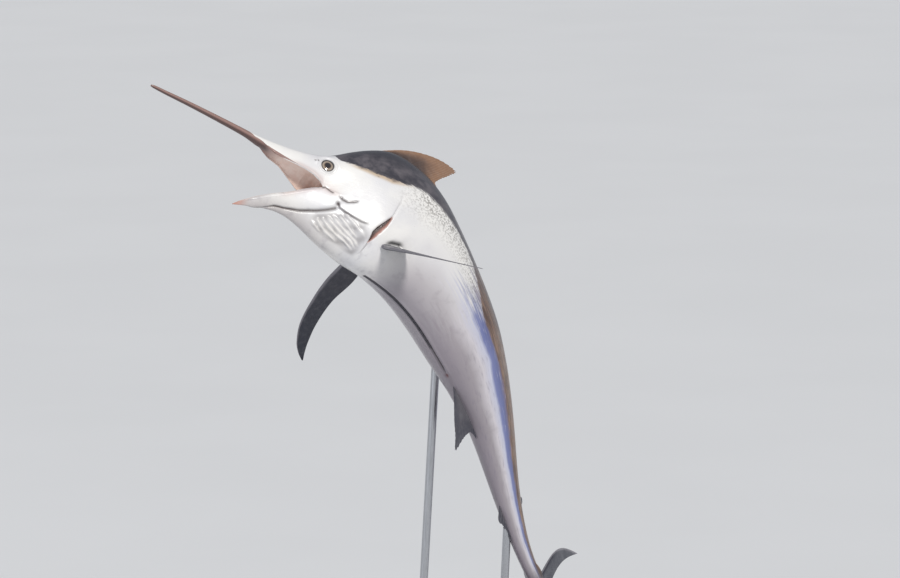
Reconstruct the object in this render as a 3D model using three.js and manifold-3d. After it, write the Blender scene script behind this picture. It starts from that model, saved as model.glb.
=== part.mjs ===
// A life-size black marlin, leaping with its mouth open, on a plain display stand.
// Millimetres, Z up. The stand's underside is at Z = 0 and the origin is at its middle.
//
// The fish is described straight and level, then bent into its leap. In the straight fish
// s runs back from the tip of the lower jaw, v to the fish's left and n up from the bill's axis.
import * as THREE from 'three';
import { mergeVertices } from 'three/addons/utils/BufferGeometryUtils.js';
import Module from 'manifold-3d';

const wasm = await Module();
wasm.setup();

// Driving dimensions
const GAP = 0.3; // between parts that meet
const BILL_LENGTH = 475; // beyond the tip of the closed lower jaw
const BODY_LENGTH = 2500; // lower jaw tip to the fork of the tail
const BODY_SIDES = 28;
const BILL_SIDES = 14;
const FIN_SUNK = 8; // how deep a fin's root starts inside the body before the body cuts it
const HEAD_START = 8;
const NECK = 640;
const MIDRIFF = 1150;
const VENT = 1700;
const TAIL_END = 2440;
const EYE = { s: 315, n: 17, radius: 25, sunk: 16, dome: 8 };
const RAY = 1; // 1 raises the fin rays, 0 leaves the fins smooth

// The leap: how far the body dips below level, swings away from the viewer and rolls, in degrees
const LEAP = curve([
  [-475, 28.9, 14.5, 38], [300, 28.9, 14.5, 38], [420, 30, 14.5, 38], [520, 33.5, 15, 38],
  [640, 44.5, 15.5, 41], [760, 53, 16, 47], [900, 58.5, 16, 56], [1050, 62, 16, 61],
  [1275, 66, 16, 61], [1550, 73, 20, 59], [1800, 77, 27, 58], [2150, 69, 40, 62],
  [2500, 52, 50, 68], [2900, 46, 52, 70],
]);

// Sections of the bill: top, bottom and half width
const BILL = curve([
  [-475, 9, 2.5, 4], [-462, 12.5, 0.5, 7.2], [-400, 15.4, 0, 9.9], [-300, 20, 1.5, 12.2],
  [-150, 23, 0, 15.2], [-40, 23.5, -4, 17.5], [8, 22.5, -10.8, 22],
]);

// Sections of head and body with the mouth open: top, bottom, half width, height of the widest line,
// and how full the upper half is, where 2 is an ellipse
const BODY = curve([
  [8, 22.5, -307, 22, -6, 2], [60, 27, -286, 28, -16, 2.1], [108, 32, -268, 36, -28, 2.3],
  [150, 37, -255, 42, -40, 2.5], [190, 44, -247, 48, -50, 2.6], [240, 55, -247, 54, -60, 2.8],
  [290, 71, -258, 61, -66, 2.9], [337, 98, -272, 70, -70, 2.8], [400, 149, -291, 87, -70, 2.5],
  [460, 194, -302, 105, -62, 2.3], [540, 243, -308, 129, -50, 2.1], [640, 269, -300, 147, -35, 2],
  [760, 276, -284, 155, -20, 2], [900, 276, -272, 154, -10, 2], [1050, 266, -258, 149, -5, 2],
  [1275, 231, -221, 132, 0, 2], [1450, 186, -174, 108, 0, 2], [1650, 138, -127, 80, 0, 2],
  [1850, 101, -92, 58, 0, 2], [2050, 71, -66, 41, 0, 2], [2200, 54, -51, 31, 0, 2],
  [2320, 46, -45, 26, 0, 2], [2400, 46, -46, 22, 0, 2], [2500, 50, -50, 10, 0, 2],
]);

// The open mouth, seen from the side: the upper jaw's edge, and the lower jaw's rim out to its tip
const MOUTH_CORNER = [322, -84];
const UPPER_EDGE = [[-10, -11.5], [8, -11.5], [65, -25], [147, -44], [233, -60], [300, -72], MOUTH_CORNER];
const LOWER_RIM = [MOUTH_CORNER, [266, -118], [197, -165], [146, -195], [86, -236], [32, -281], [4, -309]];
const JAW_JOINT_LOW = [256, -330]; // the jaw is parted from the throat from the mouth corner to here

// The hollow of the mouth: from behind the jaw tips to the throat, where it fades away
const MOUTH = { front: 34, back: 415, fade: 90, roof: 5, depth: 0.45, share: 0.74 };
const LIP = { radius: 3.6, sunk: 1.5, from: 12, to: 316, lowerFrom: 26, lowerTo: 304 };
const NOSTRIL = { radius: 5, places: [[262, 22], [274, 26]] }; // two small pits in front of each eye
const LIDS = { out: 3, thick: 4, rise: 3.5, count: 14, sides: 5 };

// The gill cover lies on the head and lifts towards its rounded rear edge, with a slit behind it.
// The edge is given by the angle round the body, in degrees from the top, and s.
const GILL = {
  front: 470, from: 46, to: 152, lift: 9, sunk: 5, root: 12, slit: 13, slitFrom: 95, slitTo: 137,
};
const GILL_EDGE = curve([
  [46, 570], [62, 602], [80, 619], [98, 620], [106, 606], [114, 590], [120, 585], [127, 590],
  [136, 597], [152, 601],
]);

// The bony rays that fan back along the throat, from the lowest to the highest: [s, angle] of both ends
const THROAT = { rays: 5, radius: 7, low: [[330, 144], [560, 156]], high: [[424, 117], [534, 133]] };

const GROOVE = { from: 730, to: 1345, half: 13, depth: 8, rings: 14 }; // the pelvic fins fold into it
const PELVIC = { to: 1190, rings: 10, apart: 5.2, radius: 4.6, tip: 1.2, lift: 1.2 };
const KEEL = { from: 2325, to: 2435, half: 11, apart: 15, spread: 0.1, rings: 6 };

// Fins on the back and belly: rows of root s, margin s and height.
// The first dorsal fin is a swept lobe over the shoulder, then a low fin along the back.
const SAIL_ROWS = [
  [497, 508, 3], [512, 545, 19], [528, 600, 58], [546, 655, 98], [566, 712, 140], [590, 762, 170],
  [614, 757, 138], [640, 742, 92], [668, 730, 52], [705, 735, 30], [790, 815, 28], [930, 955, 28],
  [1100, 1125, 26], [1300, 1322, 22], [1480, 1500, 16], [1640, 1652, 5],
];
const SECOND_DORSAL_ROWS = [
  [2000, 2006, 2], [2018, 2050, 42], [2050, 2085, 26], [2085, 2118, 14], [2115, 2185, 5],
];
const SECOND_ANAL_ROWS = [
  [1985, 1991, 2], [2003, 2037, 44], [2035, 2072, 26], [2070, 2105, 14], [2100, 2170, 5],
];
const FIRST_ANAL_ROWS = [
  [1392, 1400, 2], [1412, 1452, 42], [1436, 1530, 100], [1458, 1600, 140], [1480, 1655, 172],
  [1505, 1632, 96], [1535, 1625, 48], [1580, 1632, 24], [1650, 1672, 6],
];

// The pectoral fins, held out from low behind the gill covers. The shape's rows are the distance out
// and the leading and trailing edges. Directions are given outwards, tailward and up through the back.
const PECTORAL = { s: 700, half: 130, n: -185, length: 563, root: 14 };
const PECTORAL_SHAPE = curve([
  [0, -44, 62], [108, -81, 42], [220, -97, -4], [354, -98, -22], [462, -69, -17], [522, -36, -7],
  [563, -2, 3],
]);
const PECTORAL_POSES = {
  left: { side: 1, out: [0.933, 0.285, -0.22], chord: [-0.09, 0.777, 0.623] },
  right: { side: -1, out: [0.828, 0.444, -0.342], chord: [-0.138, 0.753, 0.644] },
};

// The tail fin: reach and span of its two lobes from the fork, and how deep its margin and lead edge bow
const TAIL_FIN = { reach: 330, span: 480, root: 52, fork: 1.5, crescent: 80, bow: 78 };

const STAND = {
  length: 1300, width: 900, height: 40, corner: 60, bevel: 6, clearance: 45,
  rod: 17, foot: 48, footHeight: 12,
};
const RODS = {
  stand_rod_belly: { s: 1330, angle: 245, foot: [-20, 60] },
  stand_rod_tail: { s: 2130, angle: 215, foot: [330, 260] },
};

const COLOURS = {
  bill: [0x8a6f66, 0.45], head: [0xd9d4cc, 0.4], lower_jaw: [0xe2dcd4, 0.4], body: [0x8f95a3, 0.35],
  fin: [0x2d3440, 0.45], sail: [0x5d4334, 0.5], eye: [0x20242c, 0.1], base: [0x2b221c, 0.5],
  rod: [0xb9bdc2, 0.3],
};

// A smooth curve through rows of [x, value, ...]
function curve(rows) {
  const slopes = rows.map((row, i) => {
    const a = rows[Math.max(i - 1, 0)];
    const b = rows[Math.min(i + 1, rows.length - 1)];
    return row.map((_, k) => (b[k] - a[k]) / (b[0] - a[0]));
  });
  return (at) => {
    const x = THREE.MathUtils.clamp(at, rows[0][0], rows[rows.length - 1][0]);
    let i = 0;
    while (i < rows.length - 2 && x > rows[i + 1][0]) i += 1;
    const h = rows[i + 1][0] - rows[i][0];
    const t = (x - rows[i][0]) / h;
    const values = [];
    for (let k = 1; k < rows[0].length; k += 1) {
      values.push(rows[i][k] * (2 * t ** 3 - 3 * t ** 2 + 1) + slopes[i][k] * h * (t ** 3 - 2 * t ** 2 + t)
        + rows[i + 1][k] * (3 * t ** 2 - 2 * t ** 3) + slopes[i + 1][k] * h * (t ** 3 - t ** 2));
    }
    return values;
  };
}

// A broken line through [x, y] points, read at x
function along(points, x) {
  const rows = points[0][0] < points[points.length - 1][0] ? points : [...points].reverse();
  let i = 0;
  while (i < rows.length - 2 && x > rows[i + 1][0]) i += 1;
  const t = THREE.MathUtils.clamp((x - rows[i][0]) / (rows[i + 1][0] - rows[i][0]), 0, 1);
  return THREE.MathUtils.lerp(rows[i][1], rows[i + 1][1], t);
}

// The spine: the body's direction at s, and its points, added up in short steps
const STEP = 5;
const SPINE_START = -BILL_LENGTH;
const SPINE_END = BODY_LENGTH + 400;

function heading(s) {
  const [dip, swing] = LEAP(s).map(THREE.MathUtils.degToRad);
  return new THREE.Vector3(Math.cos(dip) * Math.cos(swing), Math.cos(dip) * Math.sin(swing), -Math.sin(dip));
}

const spine = [new THREE.Vector3()];
for (let s = SPINE_START; s < SPINE_END; s += STEP) {
  spine.push(spine[spine.length - 1].clone().addScaledVector(heading(s + STEP / 2), STEP));
}

// The body's own axes at s: back along the body, to its left and up through its back
function frameAt(s) {
  const x = (s - SPINE_START) / STEP;
  const i = THREE.MathUtils.clamp(Math.floor(x), 0, spine.length - 2);
  const centre = spine[i].clone().lerp(spine[i + 1], x - i);
  const tailward = heading(s);
  const roll = THREE.MathUtils.degToRad(LEAP(s)[2]);
  const facing = new THREE.Vector3(0, -1, 0);
  facing.addScaledVector(tailward, -facing.dot(tailward)).normalize();
  const above = facing.clone().cross(tailward);
  const left = facing.clone().multiplyScalar(Math.cos(roll)).addScaledVector(above, Math.sin(roll));
  const up = above.clone().multiplyScalar(Math.cos(roll)).addScaledVector(facing, -Math.sin(roll));
  return { centre, tailward, left, up };
}

const place = new THREE.Vector3(); // set once the base's place under the fish is known

function bend(s, v, n) {
  const { centre, left, up } = frameAt(s);
  return centre.clone().addScaledVector(left, v).addScaledVector(up, n).add(place);
}

// A point of a section, at an angle from the top towards the fish's left
function sectionPoint([top, bottom, half, middle, fullness], angle, grow = 0) {
  const upper = Math.cos(angle) > 0;
  const power = upper ? 2 / fullness : 1;
  const reach = upper ? top - middle + grow : middle - bottom + grow;
  const across = Math.sign(Math.sin(angle)) * Math.abs(Math.sin(angle)) ** power;
  const height = Math.sign(Math.cos(angle)) * Math.abs(Math.cos(angle)) ** power;
  return [(half + grow) * across, middle + reach * height];
}

const billSection = (s) => [...BILL(s), 0, 2];

// Half the body's width at height n
function halfWidth(s, n) {
  const [top, bottom, half, middle, fullness] = BODY(s);
  const upper = n > middle;
  const part = upper ? (n - middle) / (top - middle) : (middle - n) / (middle - bottom);
  const power = upper ? fullness : 2;
  return half * Math.max(1 - part ** power, 0) ** (1 / power);
}

// A closed mesh from its points and triangles, faces out
function solid(points, triangles) {
  let volume = 0;
  for (const [a, b, c] of triangles) volume += points[a].dot(points[b].clone().cross(points[c]));
  const geometry = new THREE.BufferGeometry();
  geometry.setAttribute('position', new THREE.Float32BufferAttribute(points.flatMap((p) => p.toArray()), 3));
  geometry.setIndex(triangles.flatMap(([a, b, c]) => (volume > 0 ? [a, b, c] : [a, c, b])));
  return geometry;
}

// A closed skin over rings of equal count, with a flat fan at each end
function loft(rings) {
  const sides = rings[0].length;
  const points = rings.flat();
  const triangles = [];
  for (let r = 0; r + 1 < rings.length; r += 1) {
    for (let k = 0; k < sides; k += 1) {
      const a = r * sides + k;
      const b = r * sides + ((k + 1) % sides);
      triangles.push([a, b, b + sides], [a, b + sides, a + sides]);
    }
  }
  for (const [r, turn] of [[0, 1], [rings.length - 1, -1]]) {
    const middle = rings[r].reduce((sum, p) => sum.add(p), new THREE.Vector3()).divideScalar(sides);
    points.push(middle);
    for (let k = 0; k < sides; k += 1) {
      const a = r * sides + k;
      const b = r * sides + ((k + 1) % sides);
      triangles.push(turn > 0 ? [points.length - 1, b, a] : [points.length - 1, a, b]);
    }
  }
  return solid(points, triangles);
}

const steps = (from, to, count) => Array.from(
  { length: count + 1 },
  (_, i) => THREE.MathUtils.lerp(from, to, i / count),
);
const turns = (count) => Array.from({ length: count }, (_, k) => (2 * Math.PI * k) / count);

function bodyRing(s, section, sides, grow = 0) {
  return turns(sides).map((angle) => {
    const [v, n] = sectionPoint(section(s), angle, grow);
    return bend(s, v, n);
  });
}

// A tapered strand along straight-fish points [s, v, n, radius]
function strand(path, sides = 6) {
  const points = path.map(([s, v, n]) => bend(s, v, n));
  const { tailward, left, up } = frameAt(path[0][0]);
  const start = points[1].clone().sub(points[0]).normalize();
  const slant = (axis) => Math.abs(axis.dot(start));
  let across = [tailward, left, up].sort((a, b) => slant(a) - slant(b))[0].clone();
  return loft(points.map((point, i) => {
    const next = points[Math.min(i + 1, points.length - 1)];
    const forward = next.clone().sub(points[Math.max(i - 1, 0)]).normalize();
    across = across.clone().addScaledVector(forward, -across.dot(forward)).normalize();
    const other = forward.clone().cross(across);
    const radius = path[i][3];
    return turns(sides).map((angle) => point.clone().addScaledVector(across, radius * Math.cos(angle))
      .addScaledVector(other, radius * Math.sin(angle)));
  }));
}

// A slab over an outline in the plane of s and n, reaching far past both sides of the fish
function sideSlab(outline, reach = 260) {
  const flat = outline.map(([s, n]) => new THREE.Vector2(s, n));
  if (THREE.ShapeUtils.isClockWise(flat)) flat.reverse();
  const faces = THREE.ShapeUtils.triangulateShape(flat, []);
  const count = flat.length;
  const points = [-reach, reach].flatMap((v) => flat.map((p) => bend(p.x, v, p.y)));
  const triangles = faces.flatMap(([a, b, c]) => [[a, c, b], [a + count, b + count, c + count]]);
  for (let i = 0; i < count; i += 1) {
    const j = (i + 1) % count;
    triangles.push([i, j, j + count], [i, j + count, i + count]);
  }
  return solid(points, triangles);
}

function toManifold(geometry) {
  const bare = geometry.clone();
  bare.deleteAttribute('normal');
  bare.deleteAttribute('uv');
  const merged = mergeVertices(bare, 1e-4);
  const mesh = new wasm.Mesh({
    numProp: 3,
    vertProperties: Float32Array.from(merged.attributes.position.array),
    triVerts: Uint32Array.from(merged.index.array),
  });
  return new wasm.Manifold(mesh);
}

// The largest closed surface of a joined or cut solid
function toGeometry(manifold) {
  const largest = manifold.decompose().sort((a, b) => b.volume() - a.volume())[0];
  const mesh = largest.getMesh();
  const geometry = new THREE.BufferGeometry();
  const corners = [];
  for (let i = 0; i < mesh.vertProperties.length; i += mesh.numProp) {
    corners.push(mesh.vertProperties[i], mesh.vertProperties[i + 1], mesh.vertProperties[i + 2]);
  }
  geometry.setAttribute('position', new THREE.Float32BufferAttribute(corners, 3));
  geometry.setIndex([...mesh.triVerts]);
  return geometry;
}

// A thick sheet over a grid of points, each with an outer and an inner layer, cut alike on both faces
function sheetSolid(columns, rows, pointOn) {
  const at = (i, j) => i * (rows + 1) + j;
  const face = (columns + 1) * (rows + 1);
  const points = [];
  for (const layer of [1, -1]) {
    for (let i = 0; i <= columns; i += 1) {
      for (let j = 0; j <= rows; j += 1) points.push(pointOn(i, j, layer));
    }
  }
  const triangles = [];
  for (let i = 0; i < columns; i += 1) {
    for (let j = 0; j < rows; j += 1) {
      const [a, b, c, d] = [at(i, j), at(i + 1, j), at(i + 1, j + 1), at(i, j + 1)];
      triangles.push([a, b, c], [a, c, d], [a + face, c + face, b + face], [a + face, d + face, c + face]);
    }
  }
  const rim = [];
  for (let i = 0; i < columns; i += 1) rim.push([at(i, 0), at(i + 1, 0)]);
  for (let j = 0; j < rows; j += 1) rim.push([at(columns, j), at(columns, j + 1)]);
  for (let i = columns; i > 0; i -= 1) rim.push([at(i, rows), at(i - 1, rows)]);
  for (let j = rows; j > 0; j -= 1) rim.push([at(0, j), at(0, j - 1)]);
  for (const [a, b] of rim) triangles.push([b, a, a + face], [b, a + face, b + face]);
  return solid(points, triangles);
}

// A fin is a thin sheet of rays. u runs along its root and r from the root out to the margin.
// Every second column is a ray, raised from the membrane's own surface on both sides.
function fin({ rays, rows, sheet, membrane, ray, put }) {
  const columns = 2 * rays;
  return sheetSolid(columns, rows, (i, j, side) => {
    const r = j / rows;
    const [a, b] = sheet(i / columns, r);
    const raised = i % 2 === 1 ? RAY * ray * (1 - 0.75 * r) : 0;
    return put(a, b, side * (membrane * (1 - 0.5 * r) + raised) / 2);
  });
}

// Puts the base under the fish's centre of weight and below its hanging tail
function setPlace() {
  let weight = 0;
  const middle = new THREE.Vector3();
  for (let s = SPINE_START; s < BODY_LENGTH; s += 10) {
    const [top, bottom, half] = s < HEAD_START ? BILL(s) : BODY(s);
    const area = half * (top - bottom);
    weight += area;
    middle.addScaledVector(bend(s, 0, (top + bottom) / 2), area);
  }
  middle.divideScalar(weight);
  const tipS = BODY_LENGTH + TAIL_FIN.reach;
  const lowest = Math.min(...[1, -1].map((side) => bend(tipS, 0, side * TAIL_FIN.span).z));
  place.set(-middle.x, -middle.y, STAND.height + STAND.clearance - lowest);
}
setPlace();

// Bill, head and lower jaw
const bodyStations = [
  ...steps(HEAD_START + GAP / 2, NECK - GAP / 2, 22), ...steps(NECK + GAP / 2, MIDRIFF - GAP / 2, 13),
  ...steps(MIDRIFF + GAP / 2, VENT - GAP / 2, 10), ...steps(VENT + GAP / 2, TAIL_END, 12),
];
const bodyLoft = (from, to) => loft(bodyStations.filter((s) => s > from && s < to + 1)
  .map((s) => bodyRing(s, BODY, BODY_SIDES)));

const billGeometry = loft(steps(SPINE_START, HEAD_START - GAP / 2, 11)
  .map((s) => bodyRing(s, billSection, BILL_SIDES)));

// Everything between the jaws, in front of the corners of the mouth
const mouthOpening = sideSlab([...UPPER_EDGE, ...LOWER_RIM.slice(1), [-10, -322]]);

// The hollow of the mouth: the palate, the scoop between the lower jaw's sides, and the throat's entrance
const mouthHollow = loft(steps(MOUTH.front, MOUTH.back, 10).map((s) => {
  const inside = Math.min(s, MOUTH_CORNER[0]);
  const fade = Math.min((MOUTH.back + 12 - s) / MOUTH.fade, 1);
  const low = along(LOWER_RIM, inside);
  const top = along(UPPER_EDGE, inside) + MOUTH.roof;
  const bottom = THREE.MathUtils.lerp(low, BODY(s)[1], MOUTH.depth);
  const middle = (top + bottom) / 2 - 0.1 * (s - inside);
  const half = MOUTH.share * halfWidth(s, Math.min(low, middle)) * fade;
  const reach = ((top - bottom) / 2) * fade;
  return turns(12).map((angle) => bend(s, half * Math.sin(angle), middle + reach * Math.cos(angle)));
}));

// Lips: a bead along the upper jaw's edge and along the lower jaw's rim
function lip(edge, from, to, side, rise) {
  return strand(steps(from, to, 7).map((s) => {
    const n = along(edge, s) + rise;
    return [s, side * (halfWidth(s, n) - LIP.sunk), n, LIP.radius];
  }), 5);
}

const bothSides = [1, -1];

// A ball at a straight-fish point
function ball([s, v, n], radius, around = 8) {
  const geometry = new THREE.SphereGeometry(radius, around, (around * 3) / 4);
  return geometry.translate(...bend(s, v, n).toArray());
}

// The way the side of the head faces at a height n
function sideNormal(s, n, side) {
  const at = (x, y) => bend(x, side * halfWidth(x, y), y);
  const back = at(s + 10, n).sub(at(s - 10, n));
  const rise = at(s, n + 10).sub(at(s, n - 10));
  return back.cross(rise).multiplyScalar(side).normalize();
}

// An eye: a puck with a domed front, sunk into the side of the head
function eye(side, grow = 0) {
  const { radius, sunk, dome } = EYE;
  const arc = steps(0, 1, 5).map((t) => {
    const turn = (t * Math.PI) / 2;
    return new THREE.Vector2((radius + grow) * Math.cos(turn), (dome + grow) * Math.sin(turn));
  });
  const back = -sunk - grow;
  const profile = [new THREE.Vector2(0, back), new THREE.Vector2(radius + grow, back), ...arc];
  profile[profile.length - 1].x = 0;
  const geometry = new THREE.LatheGeometry(profile, 18);
  const facing = sideNormal(EYE.s, EYE.n, side);
  geometry.applyQuaternion(new THREE.Quaternion().setFromUnitVectors(new THREE.Vector3(0, 1, 0), facing));
  return geometry.translate(...bend(EYE.s, side * halfWidth(EYE.s, EYE.n), EYE.n).toArray());
}

// The lids: a ring round the eye, lying on the head
function lids(side) {
  const { out, thick, rise, count, sides } = LIDS;
  const ring = turns(count).map((angle) => {
    const s = EYE.s + (EYE.radius + out) * Math.cos(angle);
    const n = EYE.n + (EYE.radius + out) * Math.sin(angle);
    return { angle, s, n, v: side * halfWidth(s, n) };
  });
  const points = ring.flatMap(({ angle, s, n, v }) => turns(sides).map((around) => {
    const away = thick * Math.cos(around);
    return bend(s + away * Math.cos(angle), v + side * rise * Math.sin(around), n + away * Math.sin(angle));
  }));
  const triangles = [];
  for (let i = 0; i < count; i += 1) {
    for (let k = 0; k < sides; k += 1) {
      const [a, b] = [i * sides + k, i * sides + ((k + 1) % sides)];
      const [c, d] = [((i + 1) % count) * sides + k, ((i + 1) % count) * sides + ((k + 1) % sides)];
      triangles.push([a, b, d], [a, d, c]);
    }
  }
  return solid(points, triangles);
}

function gillCover(side) {
  const [across, down] = [4, 10];
  return sheetSolid(across, down, (i, j, layer) => {
    const angle = THREE.MathUtils.lerp(GILL.from, GILL.to, j / down);
    const s = THREE.MathUtils.lerp(GILL.front, GILL_EDGE(angle)[0], i / across);
    const edge = Math.min(1, (4 * j) / down, 4 * (1 - j / down));
    const out = layer > 0 ? -GILL.sunk + (GILL.lift + GILL.sunk) * (i / across) * edge : -GILL.root;
    const [v, n] = sectionPoint(BODY(s), THREE.MathUtils.degToRad(angle), out);
    return bend(s, side * v, n);
  });
}

// The gill slit: a furrow just behind the cover's edge, widest above its middle
function gillSlit(side) {
  const count = 9;
  return strand(steps(GILL.slitFrom, GILL.slitTo, count).map((angle, i) => {
    const s = GILL_EDGE(angle)[0] + GILL.slit / 2;
    const [v, n] = sectionPoint(BODY(s), THREE.MathUtils.degToRad(angle), 1);
    return [s, side * v, n, 2 + GILL.slit * Math.sin(Math.PI * (i / count) ** 0.7)];
  }));
}

function throatRay(side, index) {
  const part = index / (THROAT.rays - 1);
  const [start, end] = [0, 1].map((tail) => [0, 1]
    .map((k) => THREE.MathUtils.lerp(THROAT.low[tail][k], THROAT.high[tail][k], part)));
  return strand(steps(0, 1, 5).map((t) => {
    const [s, degrees] = [0, 1].map((k) => THREE.MathUtils.lerp(start[k], end[k], t));
    const [v, n] = sectionPoint(BODY(s), THREE.MathUtils.degToRad(degrees));
    return [s, side * v, n, THROAT.radius * Math.sin(Math.PI * (0.1 + 0.8 * t))];
  }), 4);
}

const openHead = toManifold(bodyLoft(HEAD_START, NECK)).subtract(toManifold(mouthOpening))
  .subtract(toManifold(mouthHollow));
const jawRegion = (shift) => {
  const top = MOUTH_CORNER[1] - 1 + shift;
  return toManifold(sideSlab([
    [-10, top], [MOUTH_CORNER[0] + shift, top], [JAW_JOINT_LOW[0] + shift, JAW_JOINT_LOW[1]],
    [JAW_JOINT_LOW[0] + shift, -420], [-10, -420],
  ]));
};

let headSolid = openHead.subtract(jawRegion(GAP));
let jawSolid = openHead.intersect(jawRegion(0));
for (const side of bothSides) {
  headSolid = headSolid.add(toManifold(lip(UPPER_EDGE, LIP.from, LIP.to, side, 2)));
  headSolid = headSolid.add(toManifold(lids(side))).add(toManifold(gillCover(side)));
  jawSolid = jawSolid.add(toManifold(lip(LOWER_RIM, LIP.lowerFrom, LIP.lowerTo, side, -3)));
}
for (const side of bothSides) {
  for (let i = 0; i < THROAT.rays; i += 1) headSolid = headSolid.add(toManifold(throatRay(side, i)));
}
// The lips and throat rays stop where the jaw is parted from the head
headSolid = headSolid.subtract(jawRegion(GAP));
jawSolid = jawSolid.intersect(jawRegion(0));
for (const side of bothSides) {
  headSolid = headSolid.subtract(toManifold(eye(side, GAP))).subtract(toManifold(gillSlit(side)));
  for (const [s, n] of NOSTRIL.places) {
    headSolid = headSolid.subtract(toManifold(ball([s, side * (halfWidth(s, n) + 1), n], NOSTRIL.radius)));
  }
}

// The whole body, grown by the gap, cuts the roots of fins and rods
const grownBody = toManifold(loft(bodyStations.map((s) => bodyRing(s, BODY, BODY_SIDES, GAP))));

function groove(shrink) {
  return loft(steps(GROOVE.from, GROOVE.to, GROOVE.rings).map((s, i) => {
    const swell = Math.sin(Math.PI * THREE.MathUtils.clamp(i / GROOVE.rings, 0.04, 0.96)) ** 0.4;
    const [, bottom] = BODY(s);
    const [half, depth] = [GROOVE.half * swell - shrink, GROOVE.depth * swell - shrink];
    return turns(8).map((angle) => bend(s, half * Math.sin(angle), bottom + depth * Math.cos(angle)));
  }));
}
const torsoFront = toManifold(bodyLoft(NECK, MIDRIFF - GAP)).subtract(toManifold(groove(0)));
const torsoRear = toManifold(bodyLoft(MIDRIFF, VENT - GAP)).subtract(toManifold(groove(0)));

// Two keels on each side of the tail stock, above and below its middle
function keel(side, level) {
  return strand(steps(KEEL.from, KEEL.to, KEEL.rings).map((s, i) => {
    const swell = Math.sin(Math.PI * THREE.MathUtils.clamp(i / KEEL.rings, 0.06, 0.94));
    const n = level * (KEEL.apart + (s - KEEL.from) * KEEL.spread);
    return [s, side * halfWidth(s, n), n, KEEL.half * swell];
  }));
}
let tailStock = toManifold(bodyLoft(VENT, TAIL_END));
for (const side of bothSides) {
  for (const level of [1, -1]) tailStock = tailStock.add(toManifold(keel(side, level)));
}

// A fin on the back or belly. Its rows are [root s, margin s, height], up from the body's outline.
// It may be a stretch of the rows only, from the first to the last, and then keeps half the gap at each end.
function medianFin({ rows, rays, levels, membrane, ray, side, first = 0, last = rows.length - 1 }) {
  const shape = curve(rows.map(([root, margin, height], i) => [i, root, margin, height]));
  const outline = (s) => (side > 0 ? BODY(s)[0] : -BODY(s)[1]);
  const geometry = fin({
    rays,
    rows: levels,
    membrane,
    ray,
    sheet: (u, r) => {
      const inset = (u === 0 ? GAP / 2 : 0) - (u === 1 ? GAP / 2 : 0);
      const [root, margin, height] = shape(THREE.MathUtils.lerp(first, last, u));
      const base = outline(root) - FIN_SUNK;
      const s = THREE.MathUtils.lerp(root, margin, r) + inset;
      return [s, THREE.MathUtils.lerp(base, outline(margin) + height, r)];
    },
    put: (s, n, v) => bend(s, v, side * n),
  });
  return toManifold(geometry).subtract(grownBody);
}

const sailPart = (first, last, rays, levels) => medianFin({
  side: 1, rows: SAIL_ROWS, first, last, rays, levels, membrane: 3, ray: 3.4,
});
const smallFin = (side, rows) => medianFin({ side, rows, rays: 6, levels: 3, membrane: 2.4, ray: 2.4 });
const firstAnal = medianFin({ side: -1, rows: FIRST_ANAL_ROWS, rays: 12, levels: 5, membrane: 3, ray: 3 });

// A pectoral fin: a stiff flat sickle, its root sunk in the body and cut by it
function pectoral({ side, out, chord }) {
  const { tailward, left, up } = frameAt(PECTORAL.s);
  const world = ([a, b, c]) => left.clone().multiplyScalar(side * a).addScaledVector(tailward, b)
    .addScaledVector(up, c).normalize();
  const direction = world(out);
  const across = world(chord).addScaledVector(direction, -world(chord).dot(direction)).normalize();
  const normal = direction.clone().cross(across);
  const root = bend(PECTORAL.s, side * PECTORAL.half, PECTORAL.n);
  const geometry = fin({
    rays: 10,
    rows: 8,
    membrane: 5,
    ray: 3.4,
    sheet: (u, r) => {
      const a = THREE.MathUtils.lerp(-PECTORAL.root, PECTORAL.length, r);
      const [lead, trail] = PECTORAL_SHAPE(a);
      return [a, THREE.MathUtils.lerp(lead, trail, u)];
    },
    put: (a, b, c) => root.clone().addScaledVector(direction, a).addScaledVector(across, b)
      .addScaledVector(normal, c),
  });
  return toManifold(geometry).subtract(grownBody);
}

// The pelvic fins: two long thin strands folded into the groove, their roots at its front
function pelvic(side) {
  const geometry = strand(steps(GROOVE.from - 4, PELVIC.to, PELVIC.rings).map((s, i) => {
    const part = i / PELVIC.rings;
    const [, bottom] = BODY(s);
    return [
      s, side * PELVIC.apart * (1 - 0.3 * part), bottom + PELVIC.lift,
      THREE.MathUtils.lerp(PELVIC.radius, PELVIC.tip, part),
    ];
  }));
  return toManifold(geometry).subtract(grownBody.subtract(toManifold(groove(GAP))));
}

// The tail fin: two stiff swept lobes that meet at the fork, their rays fanning from the tail stock
function tailLobe(side) {
  const { reach, span, fork, crescent, bow } = TAIL_FIN;
  const mix = THREE.MathUtils.lerp;
  return fin({
    rays: 11,
    rows: 7,
    membrane: 5,
    ray: 4,
    sheet: (u, r) => {
      // The root follows the end of the tail stock, and the margin runs in a crescent from tip to fork
      const root = [TAIL_END + GAP, mix(TAIL_FIN.root, fork, u)];
      const m = u ** 1.25;
      const hollow = crescent * Math.sin(Math.PI * m) * (1 - 0.45 * m);
      const margin = [BODY_LENGTH + mix(reach, 5, m) - hollow, mix(span, fork, m)];
      const lead = bow * Math.sin(Math.PI * r) * (1 - u) ** 1.2;
      return [mix(root[0], margin[0], r) - lead * 0.8, mix(root[1], margin[1], r) + lead * 0.6];
    },
    put: (s, n, v) => bend(s, v, side * n),
  });
}

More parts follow.
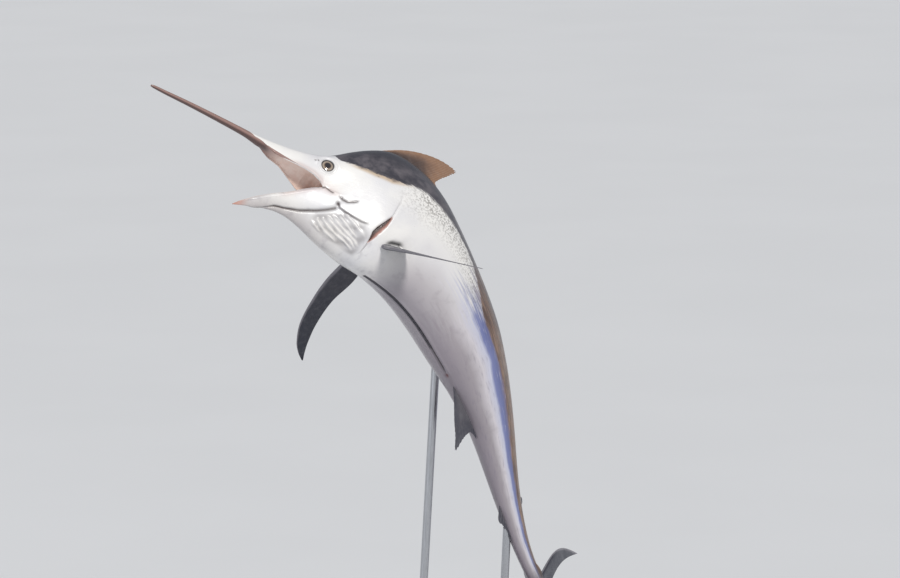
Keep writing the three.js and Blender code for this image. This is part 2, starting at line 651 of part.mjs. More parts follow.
// The stand: a flat base with eased edges, and two round rods, each with a foot plate
function baseGeometry() {
  const { length, width, height, corner, bevel } = STAND;
  const [x, y] = [length / 2 - bevel, width / 2 - bevel];
  const shape = new THREE.Shape();
  shape.moveTo(-x + corner, -y);
  shape.lineTo(x - corner, -y);
  shape.absarc(x - corner, -y + corner, corner, -Math.PI / 2, 0);
  shape.absarc(x - corner, y - corner, corner, 0, Math.PI / 2);
  shape.absarc(-x + corner, y - corner, corner, Math.PI / 2, Math.PI);
  shape.absarc(-x + corner, -y + corner, corner, Math.PI, 1.5 * Math.PI);
  const geometry = new THREE.ExtrudeGeometry(shape, {
    depth: height - 2 * bevel, bevelThickness: bevel, bevelSize: bevel, bevelSegments: 1, curveSegments: 4,
  });
  return geometry.translate(0, 0, bevel);
}

// A rod from the base to a point of the body, sunk in and then cut by it, with its foot plate joined on
function rod({ s, angle, foot }) {
  const [v, n] = sectionPoint(BODY(s), THREE.MathUtils.degToRad(angle));
  const target = bend(s, v, n);
  const start = new THREE.Vector3(foot[0], foot[1], STAND.height + GAP);
  const direction = target.clone().sub(start).normalize();
  const sunk = target.clone().addScaledVector(direction, 4 * STAND.rod);
  const below = start.clone().addScaledVector(direction, -4 * STAND.rod);
  const bar = new THREE.CylinderGeometry(STAND.rod, STAND.rod, sunk.distanceTo(below), 16);
  bar.rotateX(Math.PI / 2);
  bar.applyMatrix4(new THREE.Matrix4().lookAt(sunk, below, new THREE.Vector3(0, 1, 0)));
  bar.translate(...sunk.clone().add(below).divideScalar(2).toArray());
  const plate = new THREE.CylinderGeometry(STAND.foot, STAND.foot, STAND.footHeight, 24);
  plate.rotateX(Math.PI / 2);
  plate.translate(start.x, start.y, start.z + STAND.footHeight / 2);
  const under = new THREE.BoxGeometry(STAND.length, STAND.width, STAND.height * 5);
  under.translate(start.x, start.y, start.z - STAND.height * 2.5);
  return toManifold(bar).subtract(toManifold(under)).add(toManifold(plate)).subtract(grownBody);
}

const marlin = new THREE.Group();
function add(name, shape, [colour, roughness], metalness = 0) {
  const geometry = shape.isBufferGeometry ? shape : toGeometry(shape);
  const material = new THREE.MeshStandardMaterial({ color: colour, roughness, metalness });
  const mesh = new THREE.Mesh(geometry, material);
  mesh.name = name;
  marlin.add(mesh);
}

add('bill', billGeometry, COLOURS.bill);
add('head', headSolid, COLOURS.head);
add('lower_jaw', jawSolid, COLOURS.lower_jaw);
add('torso_front', torsoFront, COLOURS.body);
add('torso_rear', torsoRear, COLOURS.body);
add('tail_stock', tailStock, COLOURS.body);
add('eye_left', toManifold(eye(1)), COLOURS.eye);
add('eye_right', toManifold(eye(-1)), COLOURS.eye);
add('first_dorsal_fin_front', sailPart(0, 9, 12, 5), COLOURS.sail);
add('first_dorsal_fin_middle', sailPart(9, 12, 6, 2), COLOURS.sail);
add('first_dorsal_fin_rear', sailPart(12, 15, 6, 2), COLOURS.sail);
add('second_dorsal_fin', smallFin(1, SECOND_DORSAL_ROWS), COLOURS.fin);
add('first_anal_fin', firstAnal, COLOURS.fin);
add('second_anal_fin', smallFin(-1, SECOND_ANAL_ROWS), COLOURS.fin);
add('pectoral_fin_left', pectoral(PECTORAL_POSES.left), COLOURS.fin);
add('pectoral_fin_right', pectoral(PECTORAL_POSES.right), COLOURS.fin);
add('pelvic_fin_left', pelvic(1), COLOURS.fin);
add('pelvic_fin_right', pelvic(-1), COLOURS.fin);
add('caudal_fin_upper', tailLobe(1), COLOURS.fin);
add('caudal_fin_lower', tailLobe(-1), COLOURS.fin);
add('stand_base', baseGeometry(), COLOURS.base);
for (const [name, settings] of Object.entries(RODS)) add(name, rod(settings), COLOURS.rod, 0.9);

export default marlin;
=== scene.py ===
"""The looks of a life-size model of a leaping black marlin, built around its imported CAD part.

The fish is described straight and level in millimetres, as the CAD part is, and then bent into its
leap. In the straight fish s runs back from the tip of the lower jaw, v to the fish's left and n up
from the bill's axis. Angles round the body run from the top, in degrees.
"""
import math
from types import SimpleNamespace as Sizes

import bpy
import numpy as np
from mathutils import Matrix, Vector

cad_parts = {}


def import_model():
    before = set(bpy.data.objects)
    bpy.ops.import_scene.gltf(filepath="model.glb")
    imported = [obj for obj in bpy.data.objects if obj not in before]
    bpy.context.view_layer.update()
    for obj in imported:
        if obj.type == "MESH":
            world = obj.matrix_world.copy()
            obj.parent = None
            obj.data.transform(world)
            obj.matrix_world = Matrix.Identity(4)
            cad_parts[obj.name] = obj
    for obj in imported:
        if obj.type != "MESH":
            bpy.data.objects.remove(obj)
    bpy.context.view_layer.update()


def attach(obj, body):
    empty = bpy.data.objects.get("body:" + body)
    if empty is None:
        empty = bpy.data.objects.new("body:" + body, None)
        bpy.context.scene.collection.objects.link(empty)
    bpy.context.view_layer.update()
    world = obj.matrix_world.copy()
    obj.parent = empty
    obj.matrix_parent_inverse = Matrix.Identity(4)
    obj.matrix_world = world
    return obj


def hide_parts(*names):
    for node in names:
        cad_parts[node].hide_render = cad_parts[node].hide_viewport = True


MM = 0.001

# Driving dimensions, in millimetres, shared with the CAD part
BILL_LENGTH = 475
BODY_LENGTH = 2500
SPINE_END = 2900
SPINE_STEP = 5
HEAD_START = 8
TAIL_END = 2440
EYE = Sizes(s=315, n=17, radius=25)
STAND = Sizes(length=1300, width=900, height=40, corner=60, clearance=45, rod=17, foot=48, foot_height=12)
RODS = dict(
    belly=Sizes(s=1330, angle=245, foot=(-20, 60)), tail=Sizes(s=2130, angle=215, foot=(330, 260)),
)
TAIL_FIN = Sizes(reach=330, span=480, root=52, fork=1.5, crescent=80, bow=78)

# The leap: how far the body dips below level, swings away from the viewer and rolls, in degrees
LEAP_ROWS = [
    (-475, 28.9, 14.5, 38), (300, 28.9, 14.5, 38), (420, 30, 14.5, 38), (520, 33.5, 15, 38),
    (640, 44.5, 15.5, 41), (760, 53, 16, 47), (900, 58.5, 16, 56), (1050, 62, 16, 61),
    (1275, 66, 16, 61), (1550, 73, 20, 59), (1800, 77, 27, 58), (2150, 69, 40, 62),
    (2500, 52, 50, 68), (2900, 46, 52, 70),
]
# Sections of the bill: top, bottom and half width
BILL_ROWS = [
    (-475, 9, 2.5, 4), (-462, 12.5, 0.5, 7.2), (-400, 15.4, 0, 9.9), (-300, 20, 1.5, 12.2),
    (-150, 23, 0, 15.2), (-40, 23.5, -4, 17.5), (8, 22.5, -10.8, 22),
]
# Sections of head and body: top, bottom, half width, height of the widest line, fullness of the upper half
BODY_ROWS = [
    (8, 22.5, -307, 22, -6, 2), (60, 27, -286, 28, -16, 2.1), (108, 32, -268, 36, -28, 2.3),
    (150, 37, -255, 42, -40, 2.5), (190, 44, -247, 48, -50, 2.6), (240, 55, -247, 54, -60, 2.8),
    (290, 71, -258, 61, -66, 2.9), (337, 98, -272, 70, -70, 2.8), (400, 149, -291, 87, -70, 2.5),
    (460, 194, -302, 105, -62, 2.3), (540, 243, -308, 129, -50, 2.1), (640, 269, -300, 147, -35, 2),
    (760, 276, -284, 155, -20, 2), (900, 276, -272, 154, -10, 2), (1050, 266, -258, 149, -5, 2),
    (1275, 231, -221, 132, 0, 2), (1450, 186, -174, 108, 0, 2), (1650, 138, -127, 80, 0, 2),
    (1850, 101, -92, 58, 0, 2), (2050, 71, -66, 41, 0, 2), (2200, 54, -51, 31, 0, 2),
    (2320, 46, -45, 26, 0, 2), (2400, 46, -46, 22, 0, 2), (2500, 50, -50, 10, 0, 2),
]
# The open mouth from the side: the upper jaw's edges and the lower jaw's rim, meeting at the corner.
# The jaws gape a little askew, so that the upper jaw's edge is higher on the left.
MOUTH_CORNER = (322, -84)
LEFT_EDGE = [
    (-10, -11.5), (8, -11.5), (65, -25), (110, -29), (150, -31), (190, -32), (233, -35), (273, -43),
    (300, -58), (314, -72), MOUTH_CORNER,
]
RIGHT_EDGE = [
    (-10, -11.5), (8, -11.5), (65, -23), (110, -25), (149, -30), (180, -44), (207, -58), (252, -80),
    (285, -85), MOUTH_CORNER,
]
LOWER_RIM = [(4, -309), (32, -281), (86, -236), (146, -195), (197, -165), (266, -118), MOUTH_CORNER]

# Lines on the head, each along (s, angle)
JAW_CREASE = [(120, 176), (170, 159), (210, 155), (262, 144), (306, 132), (354, 121), (404, 110)]
CORNER_CREASE = [(318, 96), (334, 93), (362, 95), (374, 95)]
JOINT_FOLD = [(394, 95), (414, 99), (434, 100), (458, 98), (478, 95)]
CHEEK_EDGE = [(402, 103), (414, 109), (438, 111), (474, 113), (518, 115), (554, 115)]
# The folds there: depth, half width and half width of the dark line of painted shade in it
JAW_FOLD = (6, 6, 5)
SMALL_FOLDS = [(CORNER_CREASE, (2, 3.6, 2.88)), (JOINT_FOLD, (1.8, 6, 4.8))]
NOTCH = (402, 105)
NOTCH_FOLD = (4, 7.5, 7.5)
THROAT_RAYS = [  # how strongly each stands out, its half width and its line
    (0.6, 6.5, [(322, 142), (354, 147), (386, 151)]),
    (0.75, 6.5, [(342, 135), (370, 140), (400, 145), (470, 150)]),
    (1, 5.5, [(362, 130), (402, 136), (450, 141), (494, 143), (558, 150)]),
    (1, 6.2, [(378, 125), (422, 131), (466, 136), (514, 139), (566, 147)]),
    (1, 6, [(398, 121), (446, 128), (490, 133), (534, 137), (572, 143)]),
    (0.85, 5.2, [(422, 117), (462, 123), (502, 129), (540, 133)]),
    (0.4, 5, [(438, 112), (486, 118), (526, 124), (578, 129)]),
]
RAY_HEIGHT = 8
# The angles between which the throat is furrowed, over s
FURROWS_ABOVE = [(315, 136), (350, 126), (398, 115), (440, 111), (540, 118), (600, 126)]
FURROWS_BELOW = [(315, 147), (386, 153), (470, 152), (558, 155), (600, 157)]
GILL_EDGE = [
    (40, 556), (62, 602), (80, 619), (98, 620), (106, 606), (114, 590), (120, 584), (127, 590),
    (136, 597), (148, 598), (157, 574),
]
GILL_SLIT = [(96, 0), (102, 14), (109, 27), (116, 34), (122, 30), (128, 16), (134, 0)]  # width over angle
SLIT_DEPTH = 15
SOCKET = [(664, 126), (688, 121), (716, 118.5), (742, 121.5)]
SOCKET_DEPTH = 9
NOSTRILS = [(262, 22), (274, 26)]  # (s, n), as for the swelling that they lie on
NOSE = (268, 24)
EYEBALL = Sizes(radius=26.2, dome=6.5, lens=1.6, sunk=3.2)
VENT = 1338
# Gentle unevenness: hollows and swellings by height, place and radius, and bands along the flank by
# height, angle, half width and reach over s
SWELLINGS = [(4, (385, 62), 55), (-5, (365, 84, 1.3), 34)]
FLANK_BANDS = [(5, 112, 90, (640, 860, 90)), (-1.2, 84, 10, (680, 2380, 120))]

# Where the dark back ends, over s, in degrees from the top
BACK_EDGE = [
    (-475, 60), (-300, 50), (-60, 26), (150, 12), (250, 14), (320, 18), (338, 30), (350, 44), (362, 52),
    (398, 57), (424, 60), (463, 63), (502, 66), (564, 67), (600, 64), (660, 58), (770, 56), (900, 56),
    (1016, 62), (1110, 76), (1200, 88), (1300, 88), (1438, 83), (1562, 83), (1900, 86), (2440, 92),
]

# Rows of the fins on back and belly: root s, margin s and height
SAIL_ROWS = [
    (497, 508, 3), (512, 545, 19), (528, 600, 58), (546, 655, 98), (566, 712, 140), (590, 762, 170),
    (614, 757, 138), (640, 742, 92), (668, 730, 52), (705, 735, 30), (790, 815, 28), (930, 955, 28),
    (1100, 1125, 26), (1300, 1322, 22), (1480, 1500, 16), (1640, 1652, 5),
]
SECOND_DORSAL_ROWS = [(2000, 2006, 2), (2018, 2050, 42), (2050, 2085, 26), (2085, 2118, 14), (2115, 2185, 5)]
SECOND_ANAL_ROWS = [(1985, 1991, 2), (2003, 2037, 44), (2035, 2072, 26), (2070, 2105, 14), (2100, 2170, 5)]
FIRST_ANAL_ROWS = [
    (1392, 1400, 2), (1412, 1452, 42), (1436, 1530, 100), (1458, 1600, 140), (1480, 1655, 172),
    (1505, 1632, 96), (1535, 1625, 48), (1580, 1632, 24), (1650, 1672, 6),
]
# The pectoral fins: their outline over the distance out, and their directions outwards and across
PECTORAL = Sizes(s=700, half=130, n=-185, length=563, root=14)
PECTORAL_ROWS = [
    (0, -44, 62), (108, -81, 42), (220, -97, -4), (354, -98, -22), (462, -69, -17), (522, -36, -7),
    (563, -2, 3),
]
PECTORAL_POSES = dict(
    left=dict(side=1, out=(0.933, 0.285, -0.22), chord=(-0.09, 0.777, 0.623)),
    right=dict(side=-1, out=(0.828, 0.444, -0.342), chord=(-0.138, 0.753, 0.644)),
)
GROOVE = Sizes(start=730, end=1345, depth=8)
PELVIC = Sizes(end=1188, radius=(3.6, 1.0), apart=3.9, above=0.8)
KEEL = Sizes(start=2325, end=2435, apart=15, spread=0.1, height=9)

# How the fins are made: rays, thickness of membrane and rays, rows of points, and how notched the margin is
SAIL_FORM = dict(rays=44, membrane=3, ray=2.6, rows=60, notch=0.05, seed=3)
ANAL_FORM = dict(rays=26, membrane=3, ray=2.4, rows=60, notch=0.04, seed=5)
FINLET_FORM = dict(rays=7, membrane=2.4, ray=1.8, rows=24, notch=0.06)
PECTORAL_FORM = dict(rays=19, membrane=5, ray=2.6, rows=120, notch=0.008, branch=0.3, flesh=15)
TAIL_LOBE_FORM = dict(rays=22, membrane=6, ray=3.2, rows=90, notch=0.01)
SMALL_FINS = [
    ("second_dorsal", SECOND_DORSAL_ROWS, 1, FINLET_FORM), ("first_anal", FIRST_ANAL_ROWS, -1, ANAL_FORM),
    ("second_anal", SECOND_ANAL_ROWS, -1, FINLET_FORM),
]
RAY_COLUMNS = 8  # points across a ray
THINNEST = 0.3
SUNK = 8  # how deep the fins' roots lie in the body
SIDES = dict(left=1, right=-1)
SKIN_NODES = ("bill", "head", "lower_jaw", "torso_front", "torso_rear", "tail_stock")
SAIL_NODES = ("first_dorsal_fin_front", "first_dorsal_fin_middle", "first_dorsal_fin_rear")

# The edges of base and foot plates: 0 at the foot or 1 at the top, height from there and distance in
BASE_EDGE = [
    (0, 0, 4), (0, 1.2, 1.2), (0, 4, 0), (1, -8, 0), (1, -4.5, 0.8), (1, -1.8, 2.6), (1, -0.4, 5.2),
    (1, 0, 8),
]
PLATE_EDGE = [(0, 0, 0.8), (0, 0.8, 0), (1, -3, 0), (1, -1, 0.8), (1, 0, 3)]
ROD_INSIDE = 25  # how far a rod runs on inside the body

# How fine the skin is: rings over s and columns over the upper and lower half
RINGS = [(-475, 8, 4), (8, 285, 3), (285, 345, 1.6), (345, 700, 3), (700, TAIL_END, 7)]
UPPER_COLUMNS = 220
LOWER_COLUMNS = 190
LIP_COLUMNS = 8
LINING_COLUMNS = 44
LIP = 3.6  # the lips' radius
THROAT_END = 440
SNOUT_END = (10, 105)  # where the round bill has turned into the flat upper jaw
CAP = Sizes(rings=7, length=42, tip=0.02)  # the rounded end of the tail stock
LEFT_EDGE_ABOVE_BILL = 0.7  # from the mouth's edge up to the bill's underside, where they meet

# How deep the roof and the floor of the mouth are hollowed, over s
VAULT = [(-90, 0), (0, 2), (60, 6), (160, 11), (250, 20), (322, 34), (380, 30), (THROAT_END, 0)]
BOWL = [(8, 0.5), (34, 5), (90, 20), (150, 30), (240, 62), (322, 100), (380, 80), (THROAT_END, 0)]
# The height below which bill and upper lip are brown, over s
BROWN_EDGE = [
    (-70, 34), (-30, 19), (0, 6), (32, -4), (64, -9), (121, -19), (160, -26), (198, -32), (250, -50),
    (322, -99),
]

# What is kept for each point of the skin, for its colours
MASKS = ("crease", "gill", "deep", "socket", "vent", "pale", "groove")
KEPT = MASKS + ("back", "turn", "inner", "bill", "rose")
MOUTH_TURN = 0.6  # the angle that colours the inside of the mouth, as a part of 180 degrees
OFF_BACK = -2  # far from the dark back

# Colours from 0 to 255: over the angle, the eye's radius and the wood's grain, and of the folds by mask
# Front: the pale side greying towards the belly is painted shade on the lower side.
FRONT_SHADES = [
    (0.45, (238, 236, 232)), (0.60, (220, 218, 219)), (0.74, (184, 179, 182)), (0.90, (152, 146, 152)),
]
# Rear: the steel-blue bands are the fish's own colour. The pale lavender band below them is partly painted
# highlight, and the greys towards the belly are painted shade.
REAR_SHADES = [
    (0.46, (104, 92, 122)), (0.50, (92, 100, 150)), (0.565, (116, 124, 172)), (0.60, (196, 198, 216)),
    (0.68, (206, 201, 206)), (0.78, (160, 153, 158)), (0.90, (144, 136, 144)),
]
EYE_SHADES = [
    (0.0, (30, 27, 31)), (0.42, (38, 34, 38)), (0.49, (92, 76, 66)), (0.60, (150, 132, 112)),
    (0.76, (182, 170, 154)), (0.86, (120, 106, 98)), (0.93, (56, 50, 50)), (1.0, (36, 33, 35)),
]
WOOD_SHADES = [(0.25, (38, 24, 17)), (0.5, (66, 42, 28)), (0.75, (92, 60, 40))]
# Pale on the throat rays is a painted highlight. The crease, groove and socket darks are painted shade, and
# the vent's dark red is partly its own colour and partly painted shade.
FOLD_SHADES = [
    ("pale", 0.75, (236, 232, 226)), ("crease", 0.95, (74, 62, 60)), ("groove", 0.95, (44, 36, 36)),
    ("socket", 1.0, (30, 27, 31)), ("vent", 1.0, (98, 40, 38)),
]

# The view and the light, in metres and degrees
CAMERA = Sizes(distance=16.0, pitch=10.0, right=1.198, below=0.81)
LENS = dict(lens=160, sensor_width=36, clip_end=200)
STUDIO = Sizes(
    floor=90, head=(-0.3, -0.2, 2.3), world=0.40, sky=(0.88, 0.92, 1, 1), sun_from=(0.36, -0.60, 0.71),
    fill_at=(-6.0, -5.0, 3.4),
)
SUN = dict(energy=2.1, angle=math.radians(11), color=(1, 0.975, 0.94))
FILL = dict(shape="RECTANGLE", size=4, size_y=4, energy=90, color=(0.92, 0.95, 1))


# Numbers

def curve(rows):
    """A smooth curve through rows of (x, value, ...), the same as the CAD part's. Reads arrays."""
    rows = np.array(rows, float)
    x, y = rows[:, 0], rows[:, 1:]
    here = np.arange(len(x))
    before, after = np.maximum(here - 1, 0), np.minimum(here + 1, len(x) - 1)
    slope = (y[after] - y[before]) / (x[after] - x[before])[:, None]

    def read(at):
        at = np.clip(np.asarray(at, float), x[0], x[-1])
        i = np.clip(np.searchsorted(x, at) - 1, 0, len(x) - 2)
        h = (x[i + 1] - x[i])[..., None]
        t = (at - x[i])[..., None] / h
        value = (
            y[i] * (2 * t**3 - 3 * t**2 + 1) + slope[i] * h * (t**3 - 2 * t**2 + t)
            + y[i + 1] * (3 * t**2 - 2 * t**3) + slope[i + 1] * h * (t**3 - t**2)
        )
        return np.moveaxis(value, -1, 0)

    return read


def broken(points, x):
    return np.interp(x, [p[0] for p in points], [p[1] for p in points])


def ease(start, end, x):
    t = np.clip((np.asarray(x, float) - start) / (end - start), 0, 1)
    return t * t * (3 - 2 * t)


def window(x, start, end, soft):
    return ease(start, start + soft, x) * ease(end, end - soft, x)


def mix(a, b, t):
    return a + (b - a) * t


def circle(count):
    return np.linspace(0, 2 * np.pi, count, endpoint=False)


def unit(vector):
    return vector / np.linalg.norm(vector, axis=-1, keepdims=True)


LEAP, BILL, BODY = curve(LEAP_ROWS), curve(BILL_ROWS), curve(BODY_ROWS)


def heading(s):
    dip, swing, _ = np.radians(LEAP(s))
    return np.stack([np.cos(dip) * np.cos(swing), np.cos(dip) * np.sin(swing), -np.sin(dip)], -1)


starts = np.arange(-BILL_LENGTH, SPINE_END, SPINE_STEP)
SPINE = np.vstack([np.zeros(3), np.cumsum(heading(starts + SPINE_STEP / 2) * SPINE_STEP, axis=0)])


def frame_at(s):
    """The body's centre line and its own axes at s: tailward, left and up through the back."""
    s = np.asarray(s, float)
    x = (s + BILL_LENGTH) / SPINE_STEP
    i = np.clip(np.floor(x).astype(int), 0, len(SPINE) - 2)
    centre = SPINE[i] + (SPINE[i + 1] - SPINE[i]) * (x - i)[..., None]
    tailward = heading(s)
    roll = np.radians(LEAP(s)[2])[..., None]
    facing = unit(np.array([0, -1, 0]) + tailward * tailward[..., 1:2])
    above = np.cross(facing, tailward)
    left = facing * np.cos(roll) + above * np.sin(roll)
    up = above * np.cos(roll) - facing * np.sin(roll)
    return centre, tailward, left, up


def place_fish():
    """Over the base's middle by its weight, and above the floor by its hanging tail, as in the CAD part."""
    s = np.arange(-BILL_LENGTH, BODY_LENGTH, 10.0)
    top, bottom, half = np.where(s < HEAD_START, BILL(s), BODY(s)[:3])
    area = half * (top - bottom)
    centre, _, _, up = frame_at(s)
    middle = (centre + up * ((top + bottom) / 2)[:, None]) * area[:, None]
    middle = middle.sum(axis=0) / area.sum()
    centre, _, _, up = frame_at(BODY_LENGTH + TAIL_FIN.reach)
    lowest = min((centre + up * side * TAIL_FIN.span)[2] for side in (1, -1))
    return np.array([-middle[0], -middle[1], STAND.height + STAND.clearance - lowest])


PLACE = place_fish()


def bend(s, v, n):
    """Points of the straight fish, bent into the leap, in millimetres of the shared frame."""
    centre, _, left, up = frame_at(s)
    return centre + left * np.asarray(v, float)[..., None] + up * np.asarray(n, float)[..., None] + PLACE


def section(rows, angle):
    """A body section's (v, n) at an angle in radians."""
    top, bottom, half, middle, fullness = rows
    across, above = np.sin(angle), np.cos(angle)
    power = np.where(above > 0, 2 / fullness, 1.0)
    reach = np.where(above > 0, top - middle, middle - bottom)
    v = half * np.sign(across) * np.abs(across) ** power
    return v, middle + reach * np.sign(above) * np.abs(above) ** power


def half_width(s, n):
    top, bottom, half, middle, fullness = BODY(s)
    upper = n > middle
    part = np.where(upper, (n - middle) / (top - middle), (middle - n) / (middle - bottom))
    power = np.where(upper, fullness, 2.0)
    return half * np.maximum(1 - np.clip(part, 0, 1) ** power, 0) ** (1 / power)


def millimetres_per_degree(s):
    top, bottom, half = BODY(s)[:3]
    return math.pi * np.sqrt((half**2 + ((top - bottom) / 2) ** 2) / 2) / 180


def line_distance(s, degrees, scale, line):
    """How far the skin lies from a line of (s, angle), how far along it from 0 to 1, and on which side."""
    x, y = s, degrees * scale
    nearest, along, side = np.full(s.shape, 1e6), np.zeros(s.shape), np.zeros(s.shape)
    for k, ((x0, a0), (x1, a1)) in enumerate(zip(line, line[1:])):
        y0, y1 = a0 * scale, a1 * scale
        dx, dy = x1 - x0, y1 - y0
        t = np.clip(((x - x0) * dx + (y - y0) * dy) / (dx * dx + dy * dy), 0, 1)
        d = np.hypot(x - x0 - t * dx, y - y0 - t * dy)
        closer = d < nearest
        nearest = np.where(closer, d, nearest)
        along = np.where(closer, (k + t) / (len(line) - 1), along)
        side = np.where(closer, np.sign((y - y0) * dx - (x - x0) * dy), side)
    return nearest, along, side


def bell(distance, width):
    return np.exp(-((distance / width) ** 2))


# Pieces

def add(name, data, at=(0, 0, 0), towards=None):
    """Puts an object into the scene, turned towards a point where one is given."""
    thing = bpy.data.objects.new(name, data)
    bpy.context.collection.objects.link(thing)
    thing.location = at
    if towards is not None:
        direction = Vector(towards) - thing.location
        thing.rotation_euler = direction.to_track_quat("-Z", "Y").to_euler()
    return thing


def settle(thing, settings):
    for key, value in settings.items():
        setattr(thing, key, value)
    return thing


def build(name, points, faces, values=None, sharp=None):
    """A smooth piece from points in millimetres, with values for each. Edges above an angle stay sharp."""
    mesh = bpy.data.meshes.new(name)
    mesh.from_pydata((np.asarray(points) * MM).tolist(), [], [[int(c) for c in f] for f in faces])
    for key, value in (values or {}).items():
        value = np.asarray(value, np.float32)
        kind, field = ("FLOAT_VECTOR", "vector") if value.ndim == 2 else ("FLOAT", "value")
        mesh.attributes.new(key, kind, "POINT").data.foreach_set(field, value.ravel())
    mesh.validate()
    mesh.shade_smooth()
    if sharp:
        mesh.set_sharp_from_angle(angle=math.radians(sharp))
    return add(name, mesh)


def grid_faces(rows, columns, closed=False):
    """Faces over a grid of rows by columns, whose columns may close into a ring."""
    i, j = np.meshgrid(np.arange(rows - 1), np.arange(columns - (0 if closed else 1)), indexing="ij")
    a, b = i * columns + j, i * columns + (j + 1) % columns
    return np.stack([a, b, b + columns, a + columns], -1).reshape(-1, 4)


def tube(name, rings, values=None, sharp=None):
    """A piece through closed rings of points, with both ends closed."""
    rings = np.asarray(rings)
    rows, around = rings.shape[:2]
    faces = grid_faces(rows, around, closed=True).tolist()
    faces += [list(range(around))[::-1], list(range((rows - 1) * around, rows * around))]
    return build(name, rings.reshape(-1, 3), faces, values, sharp)


def welded(points, faces, values):
    """Joins points that share a place, and drops what that leaves without an area."""
    _, first, to = np.unique(np.round(points, 3), axis=0, return_index=True, return_inverse=True)
    kept = []
    for face in to.ravel()[faces]:
        corners = [c for k, c in enumerate(face) if c != face[k - 1]]
        if len(set(corners)) > 2:
            kept.append(corners)
    return points[first], kept, {key: value[first] for key, value in values.items()}


# The skin

def eye_place(side):
    """An eye's centre on the skin and the way it faces, in the straight fish."""
    s, n = EYE.s, EYE.n
    near = 10
    back = np.array([2 * near, float(half_width(s + near, n) - half_width(s - near, n)), 0])
    rise = np.array([0, float(half_width(s, n + near) - half_width(s, n - near)), 2 * near])
    mirror = np.array([1, side, 1])
    return np.array([s, float(half_width(s, n)), n]) * mirror, unit(np.cross(rise, back)) * mirror


def from_line(at, points, soft=0.12):
    """The distance from a line, a fade towards its ends, the side of it and the place along it."""
    d, along, side = line_distance(at.s, at.deg, at.scale, points)
    return d, window(along, -0.02, 1.02, soft), side, along


def from_spot(at, s, degrees, longer=1):
    """The distance from a place on the skin, in an oval that may be longer than high."""
    return np.hypot((at.s - s) / longer, (at.deg - degrees) * at.scale)


def fold(at, d, fade, depth, width, dark):
    """A crease of some depth and half width, with a dark line of painted shade of its own half width."""
    at.out -= depth * bell(d, width) * fade
    at.crease += bell(d, dark) * fade


def shape_jaw(at):
    """The lower jaw's branches bulge above their crease, small folds lie round the mouth's corner and
    the jaw's joint, and the cheek plate ends in a low step."""
    d, _, side, along = from_line(at, JAW_CREASE)
    fold(at, d, ease(-0.02, 0.2, along) * ease(1.01, 0.98, along), *JAW_FOLD)
    branch = (side < 0) & (at.deg > 93) & (at.s < 420)
    length = window(at.s, 60, 424, 40) * ease(424, 300, at.s)
    at.out += np.where(branch, 5 * (1 - np.exp(-d / 14)), 0) * length
    for points, form in SMALL_FOLDS:
        d, fade, _, _ = from_line(at, points, 0.18)
        fold(at, d, fade, *form)
    fold(at, from_spot(at, *NOTCH), 1, *NOTCH_FOLD)
    d, fade, side, _ = from_line(at, CHEEK_EDGE, 0.15)
    step = np.where(side < 0, 4.5, -2.5) * np.exp(-d / 16) * (1 - np.exp(-d / 2.2))
    at.out += step * fade
    # A line of painted shade along the cheek plate's step.
    at.crease += 0.75 * bell(d, 3.6) * fade


def shape_throat(at):
    """Throat rays: ridges that fan back, with furrows between them. The ridges are painted paler as a painted
    highlight and the furrows darker as painted shade.
    """
    rays = np.zeros(at.s.shape)
    for strength, width, ray in THROAT_RAYS:
        d, fade, _, along = from_line(at, ray, 0.22)
        uneven = 1 + 0.22 * np.sin(along * 19 + width * 5)
        rays = np.maximum(rays, bell(d, width * uneven) * fade * strength)
    above, under = broken(FURROWS_ABOVE, at.s), broken(FURROWS_BELOW, at.s)
    zone = window(at.s, 315, 596, 40) * ease(above - 3, above + 4, at.deg)
    zone = zone * ease(under + 4, under - 3, at.deg)
    at.out += RAY_HEIGHT * rays * zone
    shade = 0.75 + 0.25 * np.sin(at.s / 17 + at.deg / 3)
    at.crease += 0.5 * zone * (1 - rays) ** 2 * shade
    at.pale += rays * zone


def shape_gills(at):
    """The gill cover rises to its free rear edge, with a slit behind it that closes to a crease."""
    behind = at.s - broken(GILL_EDGE, at.deg)
    lift = mix(4, 10, window(at.deg, 88, 140, 20)) * ease(-150, 0, behind) ** 1.6
    lift = np.where(behind < 0, lift * (1 - bell(behind, 3) * 0.5), 0)
    at.out += lift * window(at.deg, 66, 156, 24)
    width = broken(GILL_SLIT, at.deg)
    across = np.where((width > 0) & (behind >= 0), behind / np.maximum(width, 1), 2)
    hollow = np.sqrt(np.clip(1 - across, 0, 1)) * ease(0, 12, width)
    at.out -= SLIT_DEPTH * hollow * np.clip(behind / 2.5, 0, 1)
    shut = window(at.deg, 70, 154, 16) * (1 - ease(0, 10, width))
    at.out -= 3.5 * bell(behind - 2.5, 3.5) * shut
    # The slit's depth, which darkens the gills inside it with painted shadow.
    at.deep += hollow
    at.gill += ease(0.02, 0.35, hollow)
    # Painted shade along the closed slit.
    at.crease += 0.5 * bell(behind - 2, 3) * shut * ease(90, 125, at.deg)


